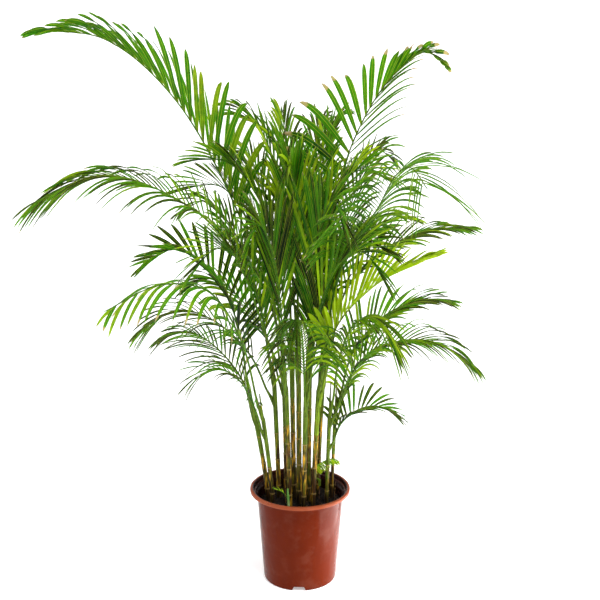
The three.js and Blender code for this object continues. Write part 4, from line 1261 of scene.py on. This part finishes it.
pot = turned("nursery_pot", rounded(pot_outline(), CORNER), POT_SIDES)
print("The pot has", len(pot.data.polygons), "faces before it is cut")

# %% [markdown]
# The notches and holes are cut by a Boolean: one mesh of prisms is taken away from the pot. Each
# prism is an outline drawn flat and set across the foot ring or through the floor.

# %% Shape what is cut away
NOTCHES, NOTCH_WIDTH, NOTCH_HEIGHT, NOTCH_SLANT, NOTCH_TURN = 4, 34, 11, 5, -0.03
NOTCH_FROM, NOTCH_TO = 68, 96  # from the pot's axis
DRAIN_HOLES, DRAIN_RADIUS, DRAIN_CIRCLE, DRAIN_SIDES = 8, 6, 58, 24
DRAIN_PAST = 5  # beyond the floor's faces
NOTCH_CORNER, NOTCH_CORNER_STEPS = 2.0, 4


def prism(outline, low, high, place):
    """A solid between two copies of an outline. place turns (across, up, depth) into a point."""
    count = len(outline)
    points = [place(x, y, depth) for depth in (low, high) for x, y in outline]
    faces = [tuple(range(count))[::-1], tuple(range(count, 2 * count))]
    faces += [(k, (k + 1) % count, (k + 1) % count + count, k + count) for k in range(count)]
    return points, faces


def cutters():
    solids = []
    half = NOTCH_WIDTH / 2
    gate = rounded([(0, -1), (half, -1), (half - NOTCH_SLANT, NOTCH_HEIGHT),
                    (NOTCH_SLANT - half, NOTCH_HEIGHT), (-half, -1), (-1, -1)],
                   NOTCH_CORNER, NOTCH_CORNER_STEPS)
    for k in range(NOTCHES):
        angle = k / NOTCHES * 2 * math.pi + NOTCH_TURN
        solids.append((gate, NOTCH_FROM, NOTCH_TO, lambda x, y, depth, turn=angle: (
            (x * math.cos(turn) + depth * math.sin(turn)) * MM,
            (x * math.sin(turn) - depth * math.cos(turn)) * MM, y * MM)))
    angles = [k / (DRAIN_SIDES / 2) * math.pi for k in range(DRAIN_SIDES)]
    circle = [(DRAIN_RADIUS * math.cos(angle), DRAIN_RADIUS * math.sin(angle))
              for angle in angles]
    for k in range(DRAIN_HOLES):
        angle = (k + 0.5) / DRAIN_HOLES * 2 * math.pi
        middle = (DRAIN_CIRCLE * math.cos(angle), DRAIN_CIRCLE * math.sin(angle))
        solids.append((circle, DRAIN_PAST, FLOOR_TOP + DRAIN_PAST, lambda x, y, depth, at=middle: (
            (x + at[0]) * MM, (y + at[1]) * MM, depth * MM)))
    points, faces = [], []
    for solid in solids:
        new_points, new_faces = prism(*solid)
        faces += [tuple(k + len(points) for k in face) for face in new_faces]
        points += new_points
    made = mesh_object("Pot cutters", points, faces=faces)
    tool = bmesh.new()
    tool.from_mesh(made.data)
    bmesh.ops.recalc_face_normals(tool, faces=tool.faces)
    tool.to_mesh(made.data)
    tool.free()
    return made


cutter = cutters()
print("To be cut:", NOTCHES, "notches and", DRAIN_HOLES, "drain holes")

# %% Cut the notches and drain holes
SHARP_OVER = math.radians(40)
cut = pot.modifiers.new("Notches and drain holes", "BOOLEAN")
cut.operation = "DIFFERENCE"
cut.solver = "EXACT"
cut.object = cutter
plain(pot)
bpy.data.objects.remove(cutter)
pot.data.shade_smooth()
pot.data.set_sharp_from_angle(angle=SHARP_OVER)
print("The pot has", len(pot.data.polygons), "faces")

# %% [markdown]
# ## Pot finish
# Nursery plastic is a warm red-brown with a satin gloss. Seen close it isn't even: the wall waves a
# little where it cooled, fine scratches run up it and dust dulls it in soft patches. The rim is
# painted paler, a painted highlight on the rolled lip, and the inner wall is painted nearly black
# and made rougher, which is painted shade. Most of this moves the roughness and the height far more
# than the colour, because it shows in the reflections. The face's normal, compared with the way
# from the pot's axis, tells the inside from the outside.

# %% Finish the pot
def pot_finish():
    finish = Finish("Red-brown plastic", Specular_IOR_Level=0.05)
    x, y, height = finish.parts(finish.place)
    dust = finish.effect(BLOTCHES, Size=0.03, Low=0.45, High=0.75)
    waves = finish.effect(BLOTCHES, Size=0.05, Low=0.2, High=0.8)
    scratches = finish.effect(STREAKS, Width=0.0015, Length=0.08, Low=0.62, High=0.7)
    speckle = finish.effect(BLOTCHES, Size=0.0015, Low=0.62, High=0.72)
    # Painted highlight: the rim is painted paler where its rolled lip catches the light.
    rim = finish.smooth(height, 0.214, 0.22)
    brown = finish.mix(rim, srgb(88, 26, 5), srgb(148, 74, 46))
    brown = finish.mix(waves * 0.3, brown, srgb(102, 33, 8))
    face_x, face_y, _ = finish.parts(finish.put("ShaderNodeNewGeometry", out="Normal"))
    inwards = finish.smooth((face_x * x + face_y * y) * -1, 0.0, 0.03)
    # Painted shade: the inner wall above the soil is painted nearly black, and made rougher.
    painted_inside_shade = inwards * finish.smooth(height, 0.1, 0.16)
    brown = finish.mix(dust * 0.03, brown, srgb(200, 160, 140))
    brown = finish.mix(speckle * 0.25, brown, srgb(90, 34, 22))
    brown = finish.mix(painted_inside_shade * 0.95, brown, srgb(28, 11, 8))
    finish.colour(brown)
    finish.rough(dust * 0.5 + scratches * 0.3 + painted_inside_shade, 0.09, 0.22)
    finish.bump(waves + speckle * 0.02 - scratches * 0.04, 0.0012, 0.6)
    return finish.material


pot.data.materials.append(pot_finish())
seat(pot, "pot", "pot")
print("Finish:", pot.data.materials[0].name)

# %% [markdown]
# ## Soil
# Potting soil fills the pot to a few centimetres under the rim. Its top is dark and crumbly: low
# clods, crumbs of all sizes and a few pale chips of bark. The ground shape is a turned solid. A
# tree lifts its top with noise and scatters copies of one small crumb and one chip on it, because
# no two handfuls of soil are alike but they all follow this rule.

# %% Soil finish
def soil_finish():
    finish = Finish("Potting soil", Specular_IOR_Level=0.2)
    clumps = finish.effect(BLOTCHES, Size=0.008, Low=0.35, High=0.65)
    grit = finish.effect(BLOTCHES, Size=0.0012, Low=0.45, High=0.65)
    tone = finish.read("tone")
    dark = finish.mix(clumps, srgb(14, 9, 7), srgb(34, 22, 16))
    dark = finish.mix(grit * 0.5, dark, srgb(54, 38, 28))
    finish.colour(finish.mix(finish.smooth(tone, 0.86, 1.0), dark, srgb(128, 92, 58)))
    finish.rough(grit, 0.8, 1.0)
    finish.bump(clumps + grit, 0.002, 1.0)
    return finish.material


print("Helper ready: soil_finish")

# %% The ground of the soil
SOIL_CLODS = 3.2
SOIL_GAP = 0.7  # to the pot's wall
SOIL_GROUND, SOIL_EDGE = 2, 1.5  # under the soil's top: its middle and its outer edge
EDGE_WIDTH = 8  # over which the clods begin
FOOT_BEVEL, BEVEL_REACH = 5, 4  # up the pot's wall and in from it
UNDER_GAP = 0.4
SOIL_BANDS, SOIL_SIDES = 40, 120


def clods(x, y):
    """Height of the clods at a place in millimetres, from a few crossing waves."""
    coarse = math.sin(x * 0.13 + 1.7) * math.cos(y * 0.11 - 0.6)
    return SOIL_CLODS * (coarse + math.sin(x * 0.31 - y * 0.27) * 0.5)


def soil_body():
    under, beside = FLOOR_TOP + UNDER_GAP, FLOOR_TOP + FOOT_BEVEL
    ground = SOIL_TOP - SOIL_GROUND
    inner = wall_radius(SOIL_TOP) - WALL - SOIL_GAP
    outline = [(0, under), (wall_radius(FLOOR_TOP) - WALL - BEVEL_REACH, under),
               (wall_radius(beside) - WALL - SOIL_GAP, beside)]
    outline += [(inner * (1 - k / SOIL_BANDS), ground) for k in range(SOIL_BANDS)]
    outline.append((0, ground))
    made = turned("soil_fill", [Vector(point) for point in outline], SOIL_SIDES)
    for vertex in made.data.vertices:
        if vertex.co.z > (ground - 1) * MM:
            x, y = vertex.co.x / MM, vertex.co.y / MM
            rise = min(1, (inner - math.hypot(x, y)) / EDGE_WIDTH)
            vertex.co.z = (SOIL_TOP - SOIL_EDGE + (clods(x, y) + 1) * rise) * MM
    return made


print("The soil's top is at", SOIL_TOP, "mm")

# %% The crumb and the chip to copy
def crumb(name, stretch, seed):
    """A lump with a few dozen faces, pushed out of round by a fixed rule."""
    tool = bmesh.new()
    bmesh.ops.create_icosphere(tool, subdivisions=1, radius=1)
    for vertex in tool.verts:
        x, y, z = vertex.co
        bulge = (1 + 0.22 * math.sin(x * 3 + seed) * math.cos(y * 4 - seed)
                 + 0.12 * math.sin(z * 7 + seed))
        vertex.co = Vector((x * stretch[0], y * stretch[1], z * stretch[2])) * bulge
    mesh = bpy.data.meshes.new(name)
    tool.to_mesh(mesh)
    tool.free()
    return new_object(name, mesh)


shapes = [crumb("Crumb to copy", (1, 0.85, 0.7), 1.3), crumb("Chip to copy", (2.6, 0.8, 0.3), 4.1)]
print("A crumb has", len(shapes[0].data.polygons), "faces")

# %% Build the soil
# What is copied, the input for how many lie on a square metre, the least and the greatest radius.
KINDS = (("Crumb", "Crumbs", 0.0006, 0.003), ("Chip", "Chips", 0.0012, 0.0034))
CRUMBS, CHIPS = 52000.0, 2600.0
SOIL_LIFT = 0.007
FULL_TURN = (6.28, 6.28, 6.28)


def soil_tree():
    inputs = {"Crumb": "Object", "Chip": "Object", "Seed": "Int", "Finish": "Material",
              "Crumbs": "Float", "Chips": "Float", "Lift": "Float"}
    t = GeometryTree("Soil", inputs)
    given = t.given
    facing = t.parts(t.put("GeometryNodeInputNormal"))[2]
    height = t.parts(t.put("GeometryNodeInputPosition"))[2]
    top = t.smooth(facing, 0.4, 0.8) * t.smooth(height, 0.15, 0.17)
    rise = t.put("ShaderNodeTexNoise", None, 130.0, 5.0, 0.6) - 0.45
    ground = t.put("GeometryNodeSetPosition", given["Geometry"], None, None,
                   t.vector(0.0, 0.0, rise * top * given["Lift"]))
    ground = t.store(ground, "tone", 0.3)
    parts = [ground]
    for number, (kind, amount, least, most) in enumerate(KINDS):
        points = t.put("GeometryNodeDistributePointsOnFaces", ground, top, given[amount],
                       given["Seed"] + number, distribute_method="RANDOM")
        points = t.store(points, "tone", t.chance(0.0, 1.0, 5 + number))
        turn = t.put("FunctionNodeRandomValue", (0, 0, 0), FULL_TURN, None,
                     given["Seed"] + 10 + number, data_type="FLOAT_VECTOR")
        size = t.chance(0.0, 1.0, 15 + number)
        size = t.between(least, most, size * size)
        shape = t.put("GeometryNodeObjectInfo", given[kind], out="Geometry")
        parts.append(t.put("GeometryNodeInstanceOnPoints", points, None, shape, None, None,
                           t.put("FunctionNodeEulerToRotation", turn),
                           t.vector(size, size, size)))
    t.end(t.paint(t.soften(t.join(*parts)), given["Finish"]))
    return t


SOIL_TREE = soil_tree()
soil = grow(SOIL_TREE, soil_body(), Crumb=shapes[0], Chip=shapes[1], Seed=7, Finish=soil_finish(),
            Crumbs=CRUMBS, Chips=CHIPS, Lift=SOIL_LIFT)
for shape in shapes:
    bpy.data.objects.remove(shape)
seat(soil, "soil", "soil")
print("The soil has", len(soil.data.polygons), "faces")

# %% [markdown]
# ## Floor, light and the last measures
# The palm stands on a plain pale floor in soft studio light. The floor is round, curves up into a
# wall far away and glows a little, so that the ground stays as pale as paper under the plant.

# %% Floor
def plain_finish(name, colour, roughness, glow):
    finish = Finish(name, Roughness=roughness, Emission_Strength=glow)
    finish.shader.inputs["Base Color"].default_value = colour
    finish.shader.inputs["Emission Color"].default_value = colour
    return finish.material


FLOOR_RADIUS, COVE, COVE_HEIGHT, COVE_SIDES, COVE_STEPS = 9.0, 3.0, 6.0, 96, 12
FLOOR_GLOW = 0.38


def studio():
    """A round floor whose edge curves up into a wall, like the cove of a photo studio."""
    bend = [(FLOOR_RADIUS + COVE * math.sin(a), COVE * (1 - math.cos(a)))
            for a in (k * math.pi / (2 * COVE_STEPS) for k in range(COVE_STEPS + 1))]
    outline = [(1.0, 0.0), (4.0, 0.0), *bend, (FLOOR_RADIUS + COVE, COVE_HEIGHT)]
    angles = [2 * math.pi * k / COVE_SIDES for k in range(COVE_SIDES)]
    points = [(r * math.cos(a), r * math.sin(a), z) for r, z in outline for a in angles]
    faces = [tuple(range(COVE_SIDES))]
    for row in range(len(outline) - 1):
        for k in range(COVE_SIDES):
            a, b = row * COVE_SIDES + k, row * COVE_SIDES + (k + 1) % COVE_SIDES
            faces.append((b, a, a + COVE_SIDES, b + COVE_SIDES))
    made = mesh_object("Studio floor", points, faces=faces)
    made.data.shade_smooth()
    made.data.materials.append(plain_finish("Pale floor", srgb(250, 250, 250), 0.9, FLOOR_GLOW))
    return made


studio_floor = studio()
print("The floor has", len(studio_floor.data.polygons), "faces")

# %% [markdown]
# A strong large lamp stands on the right and a weak one on the left. They and a low panel, close
# beside the pot on the right, are what its wall reflects: the panel draws the bright band with its
# sharp upper edge. Two wide suns give the plant its even light, one from the front and one from
# behind, which shines through the leaves and makes them glow. The pale surroundings fill every
# shadow.

# %% Light
SURROUNDINGS_GLOW = 0.16


def light(kind, name, aim, energy, place=(0, 0, 0)):
    data = bpy.data.lights.new(name, kind)
    data.energy = energy
    made = new_object(name, data)
    made.location = place
    made.rotation_euler = (Vector(aim) - Vector(place)).to_track_quat("-Z", "Y").to_euler()
    return made


def lamp(name, place, aim, size, power):
    made = light("AREA", name, aim, power, place)
    made.data.shape = "RECTANGLE"
    made.data.size, made.data.size_y = size
    made.visible_camera = False


def sun(name, aim, strength, softness):
    """Even light from one side, which reaches all of the floor alike."""
    light("SUN", name, aim, strength).data.angle = math.radians(softness)


lamp("Left lamp", (-2.1, -0.8, 1.0), (0, 0, 0.5), (1.4, 2.2), 3)
lamp("Right lamp", (2.1, -0.7, 1.0), (0, 0, 0.5), (1.4, 2.2), 24)
lamp("Low panel", (0.27, -0.01, 0.1), (0, 0.06, 0.1), (0.4, 0.2), 1.6)
sun("Front light", (-0.3, 0.5, -1.0), 1.9, 14)
sun("Back light", (0.3, -0.6, -1.0), 1.2, 25)
world = bpy.data.worlds.new("Pale surroundings")
world.use_nodes = True
background = world.node_tree.nodes["Background"]
background.inputs["Color"].default_value = (1, 1, 1, 1)
background.inputs["Strength"].default_value = SURROUNDINGS_GLOW
bpy.context.scene.world = world
bpy.context.scene.view_settings.view_transform = "Standard"
print("Three lamps, two suns and pale surroundings")
